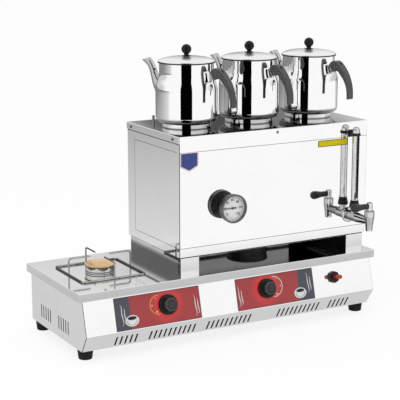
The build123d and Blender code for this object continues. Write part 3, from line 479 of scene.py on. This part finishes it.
# painted shade and reflection: bands on the pot's foot above the boiler's lid, and a darker spout
onStep = allOf(fading((0, 0, stepTop), (0, 0, -1), 0.0, stepTop - stepFull), above(stepEnd))
foot = anyOf(onStep, fading((0, 0, ringTop), (0, 0, -1), 0.0, ringTop - ringFull))
for number in (1, 2, 3):
    low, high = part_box(f"pot_lid_{number}")
    centre = ((low.x + high.x) / 2, (low.y + high.y) / 2, 0)
    underRim = below(low.z + potSet["skirt"])
    spout = faintly(nearAxis(centre, (0, 0, 1), *potSet["spout"]), potSet["spoutShade"])
    potSteel = surface(f"potSteel{number}", turnedGrain, potLook, 1.0, centre, anyOf(foot, spout), footAndSpoutShade)
    lidSteel = surface(f"lidSteel{number}", turnedGrain, potLidLook, 1.0, centre, underRim, lidGapShade)
    dress(potSteel, f"pot_body_{number}")
    dress(lidSteel, f"pot_lid_{number}")
    dress(handlePlastic, f"pot_handle_{number}")
    dress(ballPlastic, f"lid_knob_{number}")

# Fittings
chromeLook = {
    "light": grey(0.74, -0.01),
    "dark": grey(0.62, -0.01),
    "smooth": 0.04,
    "rough": 0.09,
    "fineness": 700.0,
    "wipes": 60.0,
    "relief": 0.000002,
    "outline": (0.22, 0.62, grey(0.10)),
}
burnerLook = dict(chromeLook, light=grey(0.74), dark=grey(0.62), outline=(0.40, 0.92, grey(0.14)))
burnerSet = {"groove": (0.1740, 0.1762), "neck": 0.1856, "foot": 0.1718}
groove = allOf(above(burnerSet["groove"][0]), below(burnerSet["groove"][1]))
bodyLines = anyOf(groove, above(burnerSet["neck"]), below(burnerSet["foot"]))
bodyShadow = {"tint": grey(0.10), "extraRoughness": 0.1}
platedLook = dict(chromeLook, light=grey(0.50, 0.01), dark=grey(0.34, 0.02), smooth=0.2, rough=0.34)
darkLook = dict(chromeLook, light=grey(0.050), dark=grey(0.034), smooth=0.26, rough=0.36)
darkLook["outline"] = (0.6, 1.0, grey(0.5))
wireLook = dict(chromeLook, light=grey(0.56), dark=grey(0.34), smooth=0.1, rough=0.24)
wireLook["outline"] = (0.15, 0.6, grey(0.12))
screwLook = dict(platedLook, light=grey(0.30), dark=grey(0.18))
brassLook = {
    "light": (0.86, 0.62, 0.30, 1),
    "dark": (0.70, 0.44, 0.17, 1),
    "smooth": 0.2,
    "rough": 0.36,
    "fineness": 700.0,
    "wipes": 45.0,
    "relief": 0.000006,
}
ironLook = {
    "light": grey(0.050),
    "dark": grey(0.022),
    "smooth": 0.5,
    "rough": 0.7,
    "fineness": 900.0,
    "wipes": 60.0,
    "relief": 0.00006,
}
# the thermometer case's front rim is smoother, with a painted sheen that lightens it
polishedRimSheen = {"tint": grey(2.6), "extraRoughness": -0.04, "width": 0.0031}
chrome = surface("chrome", mouldedGrain, chromeLook, 1.0)
burnerChrome = surface("burnerChrome", mouldedGrain, burnerLook, 1.0, where=bodyLines, other=bodyShadow)
plated = surface("plated", mouldedGrain, platedLook, 1.0)
screwSteel = surface("screwSteel", mouldedGrain, screwLook, 1.0)
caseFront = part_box("thermometer_case")[0].y
caseRim = beyond((0, caseFront, 0), (0, -1, 0), -polishedRimSheen["width"])
caseEnamel = surface("caseEnamel", mouldedGrain, darkLook, where=caseRim, other=polishedRimSheen)
wireChrome = surface("wireChrome", mouldedGrain, wireLook, 1.0)
castBrass = surface("castBrass", mouldedGrain, brassLook, 1.0)
castIron = surface("castIron", mouldedGrain, ironLook)
dress(chrome, "tap_body", "tap_plug", "tap_escutcheon", "gauge_guard")
dress(burnerChrome, "side_burner_body")
dress(plated, "foot_screws", "valve_spindle_left", "valve_spindle_right", "igniter_nut", "vent_pipe")
dress(plated, "tap_locknut", "thermometer_stem", "gas_rail", "supply_pipe_side", "supply_pipe_main")
dress(screwSteel, "lid_screws")
dress(caseEnamel, "thermometer_case")
dress(wireChrome, "pot_stand")
dress(castBrass, "gas_valve_left", "gas_valve_right", "gas_nipple")
dress(castIron, "main_burner_body", "main_burner_cap")

low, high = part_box("side_burner_cap")
capCentre = ((low.x + high.x) / 2, (low.y + high.y) / 2, 0)
dress(surface("capBrass", turnedGrain, brassLook, 1.0, capCentre), "side_burner_cap")

# Plastics, rubber and paint
blackLook = dict(ballLook, light=grey(0.014), dark=grey(0.009), smooth=0.24, rough=0.36, relief=0.00001)
leverLook = dict(blackLook, light=grey(0.040), dark=grey(0.028), smooth=0.3, rough=0.42)
gripHighlight = {"tint": grey(9.0), "extraRoughness": 0.06}
redLook = {
    "light": (0.55, 0.026, 0.020, 1),
    "dark": (0.40, 0.014, 0.012, 1),
    "smooth": 0.16,
    "rough": 0.28,
    "fineness": 900.0,
    "wipes": 120.0,
    "relief": 0.000004,
}
rubberLook = dict(blackLook, light=grey(0.014), dark=grey(0.008), smooth=0.55, rough=0.75, fineness=600.0)
dialLook = {
    "light": (0.93, 0.93, 0.91, 1),
    "dark": (0.88, 0.88, 0.86, 1),
    "smooth": 0.35,
    "rough": 0.5,
    "fineness": 500.0,
    "wipes": 40.0,
    "relief": 0.000002,
}
blackPlastic = surface("blackPlastic", mouldedGrain, blackLook)
leverPlastic = surface("leverPlastic", mouldedGrain, leverLook)

# Knobs: painted highlights where the grip's rings and rim catch the light, a faint painted light over the
# whole grip, and the skirt stays black
knobSet = {
    "places": {"left": -0.194, "right": 0.0875},
    "drop": 0.038,  # down the panel from its upper edge
    "gripFoot": 0.0105,
    "gripRadius": 0.0176,
    "gripShare": 0.22,
    "gripTop": 0.0215,
    "rings": ((0.0040, 0.0056), (0.0142, 0.0190)),
}
knobDown = Vector((0, -sin(panelSlope), -cos(panelSlope))) * knobSet["drop"]
for side, knobX in knobSet["places"].items():
    seat = Vector((knobX, *panelSet["origin"][1:])) + knobDown
    rings = anyOf(*[nearAxis(seat, panelNormal, inner, outer) for inner, outer in knobSet["rings"]])
    onTop = allOf(beyond(seat, panelNormal, knobSet["gripTop"]), rings)
    grip = allOf(
        beyond(seat, panelNormal, knobSet["gripFoot"]),
        nearAxis(seat, panelNormal, 0.0, knobSet["gripRadius"]),
    )
    lighter = anyOf(onTop, faintly(grip, knobSet["gripShare"]))
    plasticName = f"knobPlastic{side.title()}"
    dress(surface(plasticName, mouldedGrain, blackLook, where=lighter, other=gripHighlight), f"knob_{side}")

redPlastic = surface("redPlastic", mouldedGrain, redLook)
blackRubber = surface("blackRubber", mouldedGrain, rubberLook)
whiteDial = surface("whiteDial", mouldedGrain, dialLook)
blackPaint = surface("blackPaint", mouldedGrain, dict(blackLook, smooth=0.4, rough=0.55))
dress(blackPlastic, "igniter_body", "gauge_clip", "gauge_nut")
dress(leverPlastic, "tap_lever")
dress(redPlastic, "igniter_button")
dress(blackRubber, "rubber_feet")
dress(whiteDial, "thermometer_dial")
dress(blackPaint, "thermometer_pointer")

# Glass, with the faint film that handling leaves
glassSet = {"tint": (0.93, 0.97, 0.96, 1), "film": 60.0, "haze": 0.05}


def clearGlass():
    made, tree, shader = newMaterial("clearGlass", 0.0, Transmission_Weight=1.0, IOR=1.46)
    place = addNode(tree, "ShaderNodeTexCoord").outputs["Object"]
    noise = {"Vector": place, "Scale": glassSet["film"], "Detail": 3.0}
    film = addNode(tree, "ShaderNodeTexNoise", noise).outputs[0]
    tree.links.new(ramp(tree, film, 0.3, 0.7, 0.0, glassSet["haze"]), shader.inputs["Roughness"])
    tree.links.new(blendColours(tree, film, white, glassSet["tint"]), shader.inputs["Base Color"])
    # light passes straight through, so that what lies behind the glass stays bright
    rays = addNode(tree, "ShaderNodeLightPath").outputs
    passing = calc(tree, "MAXIMUM", rays["Is Shadow Ray"], rays["Is Diffuse Ray"])
    clear = addNode(tree, "ShaderNodeBsdfTransparent").outputs[0]
    mixed = addNode(tree, "ShaderNodeMixShader", {0: passing, 1: shader.outputs[0], 2: clear}).outputs[0]
    tree.links.new(mixed, tree.nodes["Material Output"].inputs[0])
    return made


dress(clearGlass(), "gauge_glass", "thermometer_glass")
print("finishes assigned")

# Printed control plates: red, with a slate band at the outer end and a glow round the knob
plateSet = {
    "left": {"middle": -0.2195, "band": -0.295, "side": -1},
    "right": {"middle": 0.114, "band": 0.183, "side": 1},
    "width": 0.230,
    "height": 0.0795,
    "drop": 0.0437,  # the plates' middle line, down the panel from its upper edge
    "border": 0.0013,
    "glowReach": (0.024, 0.052),
    "shadeReach": (0.06, 0.15),
    "red": (0.38, 0.020, 0.024, 1),
    "glow": (0.72, 0.028, 0.028, 1),
    "shade": (0.30, 0.030, 0.034, 1),
    "slate": (0.045, 0.050, 0.072, 1),
    "line": (0.030, 0.020, 0.024, 1),
    "grain": 1800.0,
    "film": 35.0,
    "gloss": (0.24, 0.38),
}


def printedPlate(side):
    here = plateSet[side]
    name = f"printedPlate{side.title()}"
    made, tree, shader = newMaterial(name, 0.0, Coat_Weight=0.35, Coat_Roughness=0.12)
    place = addNode(tree, "ShaderNodeTexCoord").outputs["Object"]
    turn = (radians(90) - panelSlope, 0, 0)
    mapping = {"Vector": place, "Location": panelSet["origin"], "Rotation": turn}
    onPanel = addNode(tree, "ShaderNodeMapping", mapping, vector_type="TEXTURE").outputs[0]
    across, up = split(tree, onPanel)[:2]
    # the glow and the slow shading over the red
    knob = (knobSet["places"][side], -knobSet["drop"], 0)
    fromKnob = vectorCalc(tree, "DISTANCE", onPanel, knob, "Value")
    dying = ramp(tree, fromKnob, *plateSet["glowReach"], smooth=True)
    red = blendColours(tree, dying, plateSet["glow"], plateSet["red"])
    red = blendColours(tree, ramp(tree, fromKnob, *plateSet["shadeReach"]), red, plateSet["shade"])
    # the slate band
    outward = calc(tree, "MULTIPLY", across, here["side"])
    inBand = calc(tree, "GREATER_THAN", outward, here["band"] * here["side"])
    ink = blendColours(tree, inBand, red, plateSet["slate"])
    # fine grain of the print, then the dark border
    noise = {"Vector": place, "Scale": plateSet["grain"], "Detail": 2.0}
    speck = addNode(tree, "ShaderNodeTexNoise", noise).outputs[0]
    ink = blendColours(tree, ramp(tree, speck, 0.45, 0.75, 0.0, 0.16), ink, grey(0.5), "OVERLAY")
    aside = calc(tree, "ABSOLUTE", calc(tree, "SUBTRACT", across, here["middle"]))
    overX = calc(tree, "SUBTRACT", aside, plateSet["width"] / 2)
    aside = calc(tree, "ABSOLUTE", calc(tree, "ADD", up, plateSet["drop"]))
    overY = calc(tree, "SUBTRACT", aside, plateSet["height"] / 2)
    edge = calc(tree, "GREATER_THAN", calc(tree, "MAXIMUM", overX, overY), -plateSet["border"])
    tree.links.new(blendColours(tree, edge, ink, plateSet["line"]), shader.inputs["Base Color"])
    noise = {"Vector": place, "Scale": plateSet["film"], "Detail": 3.0}
    film = addNode(tree, "ShaderNodeTexNoise", noise).outputs[0]
    tree.links.new(ramp(tree, film, 0.3, 0.7, *plateSet["gloss"]), shader.inputs["Roughness"])
    bump = addNode(tree, "ShaderNodeBump", {"Height": speck, "Distance": 0.000006})
    tree.links.new(bump.outputs[0], shader.inputs["Normal"])
    return made


for side in ("left", "right"):
    dress(printedPlate(side), f"control_plate_{side}")
print("control plates printed")


# Modelling helpers
def deselect():
    if bpy.context.object and bpy.context.object.mode != "OBJECT":
        bpy.ops.object.mode_set(mode="OBJECT")
    bpy.ops.object.select_all(action="DESELECT")


def only(obj):
    deselect()
    obj.select_set(True)
    bpy.context.view_layer.objects.active = obj


def selectFaces(obj, test):
    # faces are picked by their middle and normal, and edit mode is left open on them
    only(obj)
    bpy.ops.object.mode_set(mode="EDIT")
    bpy.ops.mesh.select_mode(type="FACE")
    bpy.ops.mesh.select_all(action="DESELECT")
    bpy.ops.object.mode_set(mode="OBJECT")
    for face in obj.data.polygons:
        face.select = test(face.center, face.normal)
    bpy.ops.object.mode_set(mode="EDIT")


def settle(obj):
    # leaves the object at the origin, with its place in its mesh
    only(obj)
    bpy.ops.object.transform_apply(location=True, rotation=True, scale=True)


def placeOn(obj, place):
    obj.matrix_world = place @ obj.matrix_world
    settle(obj)


def copyOf(obj):
    made = obj.copy()
    made.data = obj.data.copy()
    bpy.context.collection.objects.link(made)
    return made


def joinAs(name, objects):
    only(objects[0])
    for other in objects[1:]:
        other.select_set(True)
    bpy.ops.object.join()
    joined = bpy.context.object
    joined.name = joined.data.name = name
    return joined


def paint(obj, material):
    obj.data.materials.clear()
    obj.data.materials.append(material)


def thicken(obj, thickness):
    # turns a flat face that looks up +Z into a solid standing on its plane
    only(obj)
    bpy.ops.object.mode_set(mode="EDIT")
    bpy.ops.mesh.select_all(action="SELECT")
    bpy.ops.mesh.extrude_region_move(TRANSFORM_OT_translate={"value": (0, 0, thickness)})
    bpy.ops.mesh.select_all(action="SELECT")
    bpy.ops.mesh.normals_make_consistent(inside=False)
    bpy.ops.object.mode_set(mode="OBJECT")


# A piece drawn flat, looking up +Z, goes onto the sloping panel or the boiler's front
panelPlace = Matrix.Translation(panelSet["origin"]) @ Matrix.Rotation(radians(90) - panelSlope, 4, "X")
frontPlace = Matrix.Translation((0, boilerSet["front"], 0)) @ Matrix.Rotation(radians(90), 4, "X")

# Inks of the prints
amberLook = dict(dialLook, light=(0.85, 0.42, 0.06, 1), dark=(0.72, 0.30, 0.04, 1))
darkInkLook = dict(blackLook, light=grey(0.03), dark=grey(0.02), smooth=0.35, rough=0.5)
whiteInk = surface("whiteInk", mouldedGrain, dict(dialLook, light=grey(0.80), dark=grey(0.66)))
paleInk = surface("paleInk", mouldedGrain, dict(dialLook, light=grey(0.50), dark=grey(0.42)))
amberInk = surface("amberInk", mouldedGrain, amberLook)
darkInk = surface("darkInk", mouldedGrain, darkInkLook)

inkSet = {
    "level": panelSet["face"] + 0.00005,
    "thickness": 0.00012,
    "layer": 0.00015,  # from one ink to the next that lies on it
    "arc": {
        "left": {"middle": (-0.2180, -0.0346), "radius": 0.0230, "start": 90, "ink": amberInk},
        "right": {"middle": (0.1088, -0.0365), "radius": 0.0255, "start": -90, "ink": whiteInk},
    },
    "arcWidth": 0.0018,
    "arcSpan": (-4, 184),  # a little past the half turn at both ends
    "arcSteps": 36,
    "dotInset": 0.0052,
    "dots": ((0.12, 0.0022), (0.5, 0.0032), (0.88, 0.0042)),
    "cup": {"left": (-0.292, -0.0625), "right": (0.186, -0.0630)},
    "curls": {
        "left": ((-0.3145, -0.056), (-0.1165, -0.060)),
        "right": ((0.0085, -0.058), (0.2135, -0.050)),
    },
    "curlPair": ((-0.0035, 1.0), (0.0040, 0.72)),
    "curlPath": ((0.0, -0.016), (0.012, -0.004), (-0.010, 0.010), (0.008, 0.024), (-0.002, 0.036)),
    "curlWidth": 0.0034,
    "curlWeights": (0.15, 0.8, 1.0, 0.7, 0.1),
}
# Each disc of the cup picture: its middle from the cup's own, its size, its layer, its ink and corners
cupDiscs = {
    "saucer": ((0, 0), (0.0365, 0.0270), 0, whiteInk, 48),
    "saucerWell": ((0, -0.001), (0.029, 0.0195), 1, paleInk, 48),
    "cup": ((0, 0.0015), (0.0235, 0.021), 2, whiteInk, 48),
    "cupEar": ((0.0125, 0.0035), (0.008, 0.0065), 2, whiteInk, 24),
    "cupRim": ((0, 0.0065), (0.0285, 0.0125), 3, whiteInk, 48),
    "coffee": ((0, 0.0062), (0.0235, 0.0088), 4, darkInk, 48),
}


def inkDisc(name, middle, size, level, ink, corners):
    # a flat oval of ink, a little above the plate
    deselect()
    place = (*middle, level)
    bpy.ops.mesh.primitive_circle_add(vertices=corners, radius=0.5, fill_type="NGON", location=place)
    made = bpy.context.object
    made.name = name
    made.scale = (size[0], size[1], 1)
    settle(made)
    thicken(made, inkSet["thickness"])
    paint(made, ink)
    return made


def inkRing(name, middle, radius, width, level, ink, start, end):
    # an arc of ink: one edge of a small face, swept round the arc's middle
    deselect()
    bpy.ops.mesh.primitive_plane_add(size=1, location=(middle[0] + radius, middle[1], level))
    made = bpy.context.object
    made.name = name
    made.scale = (width, 0.0001, 1)
    settle(made)
    bpy.ops.object.mode_set(mode="EDIT")
    bpy.ops.mesh.select_mode(type="EDGE")
    bpy.ops.mesh.select_all(action="SELECT")
    bpy.ops.mesh.delete(type="ONLY_FACE")
    bpy.ops.mesh.select_all(action="DESELECT")
    bpy.ops.object.mode_set(mode="OBJECT")
    for edge in made.data.edges:
        ends = [made.data.vertices[i].co for i in edge.vertices]
        edge.select = abs(ends[0].y - ends[1].y) < 1e-6 and ends[0].y > middle[1]
    bpy.ops.object.mode_set(mode="EDIT")
    bpy.ops.mesh.select_all(action="INVERT")
    bpy.ops.mesh.delete(type="EDGE")
    bpy.ops.object.mode_set(mode="OBJECT")
    toMiddle = Matrix.Translation((*middle, 0))
    made.data.transform(toMiddle @ Matrix.Rotation(radians(start), 4, "Z") @ toMiddle.inverted())
    bpy.ops.object.mode_set(mode="EDIT")
    bpy.ops.mesh.select_all(action="SELECT")
    turn = radians(end - start)
    bpy.ops.mesh.spin(steps=inkSet["arcSteps"], angle=turn, center=(*middle, level), axis=(0, 0, -1))
    bpy.ops.mesh.select_all(action="SELECT")
    bpy.ops.mesh.remove_doubles(threshold=0.000001)
    bpy.ops.mesh.normals_make_consistent(inside=False)
    bpy.ops.object.mode_set(mode="OBJECT")
    thicken(made, inkSet["thickness"])
    paint(made, ink)
    return made


def inkStroke(name, points, width, level, ink):
    # a brush stroke through five points, thick in the middle and fine at its ends, pressed flat
    deselect()
    bpy.ops.curve.primitive_nurbs_path_add()
    stroke = bpy.context.object
    stroke.name = name
    line = stroke.data.splines[0]
    for point, place, share in zip(line.points, points, inkSet["curlWeights"]):
        point.co = (*place, 0, 1)
        point.radius = share
    line.use_endpoint_u = True
    stroke.data.resolution_u = 8
    stroke.data.bevel_depth = width / 2
    stroke.data.bevel_resolution = 1
    stroke.data.use_fill_caps = True
    only(stroke)
    bpy.ops.object.convert(target="MESH")
    made = bpy.context.object
    made.scale = (1, 1, inkSet["thickness"] / width)
    made.location = (0, 0, level + inkSet["thickness"] / 2)
    settle(made)
    paint(made, ink)
    return made


def platePrint(side):
    arc, level = inkSet["arc"][side], inkSet["level"]
    middle, radius, start = arc["middle"], arc["radius"], arc["start"]
    ends = (start + turn for turn in inkSet["arcSpan"])
    parts = [inkRing("arc", middle, radius, inkSet["arcWidth"], level, arc["ink"], *ends)]
    # a dot for each setting along the arc, growing with the flame
    for share, size in inkSet["dots"]:
        angle = radians(start + 180 * (share if side == "left" else 1 - share))
        reach = radius - inkSet["dotInset"]
        dot = (middle[0] + reach * cos(angle), middle[1] + reach * sin(angle))
        parts.append(inkDisc("dot", dot, (size, size), level, whiteInk, 24))
    # two steam curls at each end of the plate
    for x, y in inkSet["curls"][side]:
        for step, size in inkSet["curlPair"]:
            path = [(x + step + across * size, y + up * size) for across, up in inkSet["curlPath"]]
            parts.append(inkStroke("curl", path, inkSet["curlWidth"], level, whiteInk))
    # a plain cup and saucer seen from above
    x, y = inkSet["cup"][side]
    for name, (offset, size, layer, ink, corners) in cupDiscs.items():
        place = (x + offset[0], y + offset[1])
        parts.append(inkDisc(name, place, size, level + layer * inkSet["layer"], ink, corners))
    for part in parts:
        placeOn(part, panelPlace)
    joined = joinAs(f"platePrint{side.title()}", parts)
    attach(joined, "base")


for side in ("left", "right"):
    platePrint(side)
print("plate prints laid")

# Thermometer scale: ticks and plain numbers
dialSet = {
    "centre": (-0.012, 0.331),
    "face": 0.02434,
    "tickReach": 0.0300,
    "tickSteps": 60,
    "ticksPerNumber": 10,
    "shortTick": (0.0024, 0.00045),
    "longTick": (0.0046, 0.0011),
    "inkHeight": 0.00012,
    "start": 225.0,
    "sweep": -270.0,
    "highest": 120,
    "numberStep": 20,
    "numberReach": 0.0206,
    "numberSize": 0.0088,
    "numberWeight": 0.00018,
}


def dialAngle(reading):
    return radians(dialSet["start"] + dialSet["sweep"] * reading / dialSet["highest"])


def makeTick(length, width):
    deselect()
    bpy.ops.mesh.primitive_plane_add(size=1, location=(dialSet["tickReach"] - length / 2, 0, 0))
    made = bpy.context.object
    made.scale = (length, width, 1)
    settle(made)
    thicken(made, dialSet["inkHeight"])
    paint(made, blackPaint)
    return made


def makeNumber(reading):
    deselect()
    bpy.ops.object.text_add()
    text = bpy.context.object
    text.data.body = str(reading)
    text.data.align_x, text.data.align_y = "CENTER", "CENTER"
    text.data.size = dialSet["numberSize"]
    text.data.extrude = dialSet["inkHeight"] / 2
    text.data.offset = dialSet["numberWeight"]
    only(text)
    bpy.ops.object.convert(target="MESH")
    made = bpy.context.object
    reach, angle = dialSet["numberReach"], dialAngle(reading)
    made.location = (reach * cos(angle), reach * sin(angle), dialSet["inkHeight"] / 2)
    paint(made, blackPaint)
    return made


dialParts = []
shortTick, longTick = makeTick(*dialSet["shortTick"]), makeTick(*dialSet["longTick"])
for index in range(dialSet["tickSteps"] + 1):
    tick = copyOf(shortTick if index % dialSet["ticksPerNumber"] else longTick)
    reading = index * dialSet["highest"] / dialSet["tickSteps"]
    tick.matrix_world = Matrix.Rotation(dialAngle(reading), 4, "Z")
    dialParts.append(tick)
for reading in range(0, dialSet["highest"] + 1, dialSet["numberStep"]):
    dialParts.append(makeNumber(reading))
for source in (shortTick, longTick):
    bpy.data.objects.remove(source)
dialPlace = frontPlace @ Matrix.Translation((*dialSet["centre"], dialSet["face"]))
for part in dialParts:
    placeOn(part, dialPlace)
dialMarks = joinAs("dialMarks", dialParts)
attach(dialMarks, "boiler")
print("dial marked")

# Badge and label plates on the boiler's front, both plain
badgeSet = {
    "middle": (-0.1185, 0.4573),
    "size": (0.050, 0.035),
    "point": 0.0125,
    "thickness": 0.0006,
    "rim": 0.0028,
    "corner": 0.0034,  # a little more than the rim, so that the rim's inner corners stay clean
}
labelSet = {
    "middle": (0.3010, 0.4625),
    "size": (0.0915, 0.0165),
    "point": 0.0,
    "thickness": 0.0004,
    "rim": 0.0016,
    "corner": 0.0024,
}
plateLift = 0.00005  # clear of the steel
fieldDepth = 0.3  # how far the field lies under the rim, as a share of the thickness
blueLook = dict(redLook, light=(0.020, 0.055, 0.26, 1), dark=(0.014, 0.036, 0.19, 1))
blueLook.update(smooth=0.12, rough=0.22)
roseLook = dict(redLook, light=(0.82, 0.60, 0.64, 1), dark=(0.70, 0.46, 0.52, 1))
yellowLook = dict(redLook, light=(0.70, 0.58, 0.004, 1), dark=(0.60, 0.48, 0.003, 1))
yellowLook.update(smooth=0.3, rough=0.42, specular=0.15)
blueEnamel = surface("blueEnamel", mouldedGrain, blueLook)
badgeRim = surface("badgeRim", mouldedGrain, roseLook)
yellowPaint = surface("yellowPaint", mouldedGrain, yellowLook)


def rimmedPlate(name, settings, rimMaterial, fieldMaterial):
    deselect()
    bpy.ops.mesh.primitive_plane_add(size=1, location=(*settings["middle"], plateLift))
    made = bpy.context.object
    made.scale = (*settings["size"], 1)
    settle(made)
    if settings["point"]:
        # the lower edge is split and its middle drawn down to a point
        bpy.ops.object.mode_set(mode="EDIT")
        bpy.ops.mesh.select_mode(type="EDGE")
        bpy.ops.mesh.select_all(action="DESELECT")
        bpy.ops.object.mode_set(mode="OBJECT")
        corners = made.data.vertices
        for edge in made.data.edges:
            edge.select = all(corners[i].co.y < settings["middle"][1] for i in edge.vertices)
        bpy.ops.object.mode_set(mode="EDIT")
        bpy.ops.mesh.subdivide(number_cuts=1)
        bpy.ops.mesh.select_mode(type="VERT")
        bpy.ops.mesh.select_all(action="DESELECT")
        bpy.ops.object.mode_set(mode="OBJECT")
        for corner in made.data.vertices:
            corner.select = abs(corner.co.x - settings["middle"][0]) < 0.001
        bpy.ops.object.mode_set(mode="EDIT")
        bpy.ops.transform.translate(value=(0, -settings["point"], 0))
        bpy.ops.object.mode_set(mode="OBJECT")
    only(made)
    bpy.ops.object.mode_set(mode="EDIT")
    bpy.ops.mesh.select_all(action="SELECT")
    bpy.ops.mesh.bevel(offset=settings["corner"], segments=4, affect="VERTICES")
    bpy.ops.object.mode_set(mode="OBJECT")
    thicken(made, settings["thickness"])
    paint(made, rimMaterial)
    made.data.materials.append(fieldMaterial)
    selectFaces(made, lambda middle, normal: normal.z > 0.9)
    bpy.ops.mesh.inset(thickness=settings["rim"], depth=-settings["thickness"] * fieldDepth)
    made.active_material_index = 1
    bpy.ops.object.material_slot_assign()
    bpy.ops.object.mode_set(mode="OBJECT")
    placeOn(made, frontPlace)
    made.name = made.data.name = name
    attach(made, "boiler")


rimmedPlate("badgePlate", badgeSet, badgeRim, blueEnamel)
rimmedPlate("labelPlate", labelSet, darkInk, yellowPaint)
print("badge and label fixed")

# Studio: a white floor and sky, a black card that puts the dark stripe in the pots, and a soft lamp
floorSet = {
    "size": 120.0,
    "grey": 0.92,
    "seenShare": 0.8,  # how far the floor's own white hides its shading from the camera
    "seenWhite": 1.04,
    "nearHalf": (0.43, 0.22),
    "nearShadow": (0.42, 0.72, 0.66, 1.0),
    "backFades": ((0.1, 0.9, 0.70), (0.9, 2.3, 0.74), (2.3, 4.5, 0.5)),  # from, to and what is left
}
cardSet = {
    "middle": (-0.39, -0.58),
    "half": 0.26,
    "bottom": 0.40,  # above what the flat fronts mirror
    "top": 1.9,
}
lampSet = {"place": (-1.9, -1.6, 2.9), "aim": (0.05, 0.0, 0.3), "size": 2.2, "power": 26.0}
skySet = {
    "light": 0.80,
    "lowRight": (0.02, 0.14, 0.12, 0.62),
    "lowLeft": (-0.025, -0.075, 0.12, 0.62),
    "rise": (0.165, 0.36),
    "behind": (-0.25, 0.3),
}
lookSide = radians(-cameraSet["turn"][2])  # the way the camera looks, turned from +Y towards +X
ahead, rightward = (sin(lookSide), cos(lookSide), 0), (cos(lookSide), -sin(lookSide), 0)

# The floor is white from the camera, and in the steel it greys near the object, a painted shadow, and off
# behind it
deselect()
bpy.ops.mesh.primitive_plane_add(size=floorSet["size"])
floor = bpy.context.object
floor.name = "floor"
paper = bpy.data.materials.new("floorPaper")
paper.use_nodes = True
tree = paper.node_tree
tree.nodes.clear()
place = addNode(tree, "ShaderNodeTexCoord").outputs["Object"]
rays = addNode(tree, "ShaderNodeLightPath").outputs
fade = 1.0
for start, end, left in floorSet["backFades"]:
    fade = calc(tree, "MULTIPLY", fade, ramp(tree, split(tree, place)["Y"], start, end, 1.0, left))
# a painted shadow round the object's footprint, seen only in the steel
outward = vectorCalc(tree, "SUBTRACT", vectorCalc(tree, "ABSOLUTE", place), (*floorSet["nearHalf"], 0))
apart = calc(tree, "MAXIMUM", *split(tree, outward)[:2])  # how far off the object's footprint
fade = calc(tree, "MINIMUM", fade, ramp(tree, apart, *floorSet["nearShadow"]))
glow = addNode(
    tree,
    "ShaderNodeEmission",
    {"Strength": mixNumbers(tree, rays["Is Glossy Ray"], floorSet["seenWhite"], fade)},
)
matt = addNode(tree, "ShaderNodeBsdfDiffuse", {"Color": grey(floorSet["grey"])})
seen = calc(tree, "MAXIMUM", rays["Is Camera Ray"], rays["Is Transmission Ray"])
share = calc(tree, "MAXIMUM", calc(tree, "MULTIPLY", seen, floorSet["seenShare"]), rays["Is Glossy Ray"])
mixed = addNode(tree, "ShaderNodeMixShader", {0: share, 1: matt.outputs[0], 2: glow.outputs[0]})
tree.links.new(mixed.outputs[0], addNode(tree, "ShaderNodeOutputMaterial").inputs[0])
paint(floor, paper)

felt = newMaterial("cardFelt", 0.0, Base_Color=grey(0.001), Specular_IOR_Level=0.0)[0]
deselect()
bpy.ops.mesh.primitive_plane_add(size=1)
card = bpy.context.object
card.name = "blackCard"
card.scale = (2 * cardSet["half"], cardSet["top"] - cardSet["bottom"], 1)
card.rotation_euler = (radians(90), 0, -lookSide)
card.location = (*cardSet["middle"], (cardSet["bottom"] + cardSet["top"]) / 2)
settle(card)
paint(card, felt)
card.visible_camera = card.visible_diffuse = card.visible_shadow = card.visible_transmission = False

lampTurn = (Vector(lampSet["aim"]) - Vector(lampSet["place"])).to_track_quat("-Z", "Y").to_euler()
bpy.ops.object.light_add(type="AREA", location=lampSet["place"], rotation=lampTurn)
lamp = bpy.context.object
lamp.data.size = lampSet["size"]
lamp.data.energy = lampSet["power"]
lamp.visible_glossy = False

# The sky is white, and in the steel it darkens low down behind the object, where the flat tops mirror it
world = bpy.data.worlds.new("studio")
bpy.context.scene.world = world
world.use_nodes = True
tree = world.node_tree
tree.nodes.clear()
direction = addNode(tree, "ShaderNodeTexCoord").outputs["Generated"]
rays = addNode(tree, "ShaderNodeLightPath").outputs
sideways = distanceAlong(tree, direction, rightward)
lowRight, lowLeft = ramp(tree, sideways, *skySet["lowRight"]), ramp(tree, sideways, *skySet["lowLeft"])
lowest = calc(tree, "MAXIMUM", lowRight, lowLeft)
rising = ramp(tree, split(tree, direction)["Z"], *skySet["rise"], lowest)
isBehind = ramp(tree, distanceAlong(tree, direction, ahead), *skySet["behind"], smooth=True)
mirrored = mixNumbers(tree, isBehind, 1.0, rising)
strength = mixNumbers(tree, rays["Is Glossy Ray"], skySet["light"], mirrored)
seen = calc(tree, "MAXIMUM", rays["Is Camera Ray"], rays["Is Transmission Ray"])
strength = calc(tree, "MAXIMUM", seen, strength)
shine = addNode(tree, "ShaderNodeBackground", {"Color": white, "Strength": strength})
tree.links.new(shine.outputs[0], addNode(tree, "ShaderNodeOutputWorld").inputs[0])
print("studio lit")
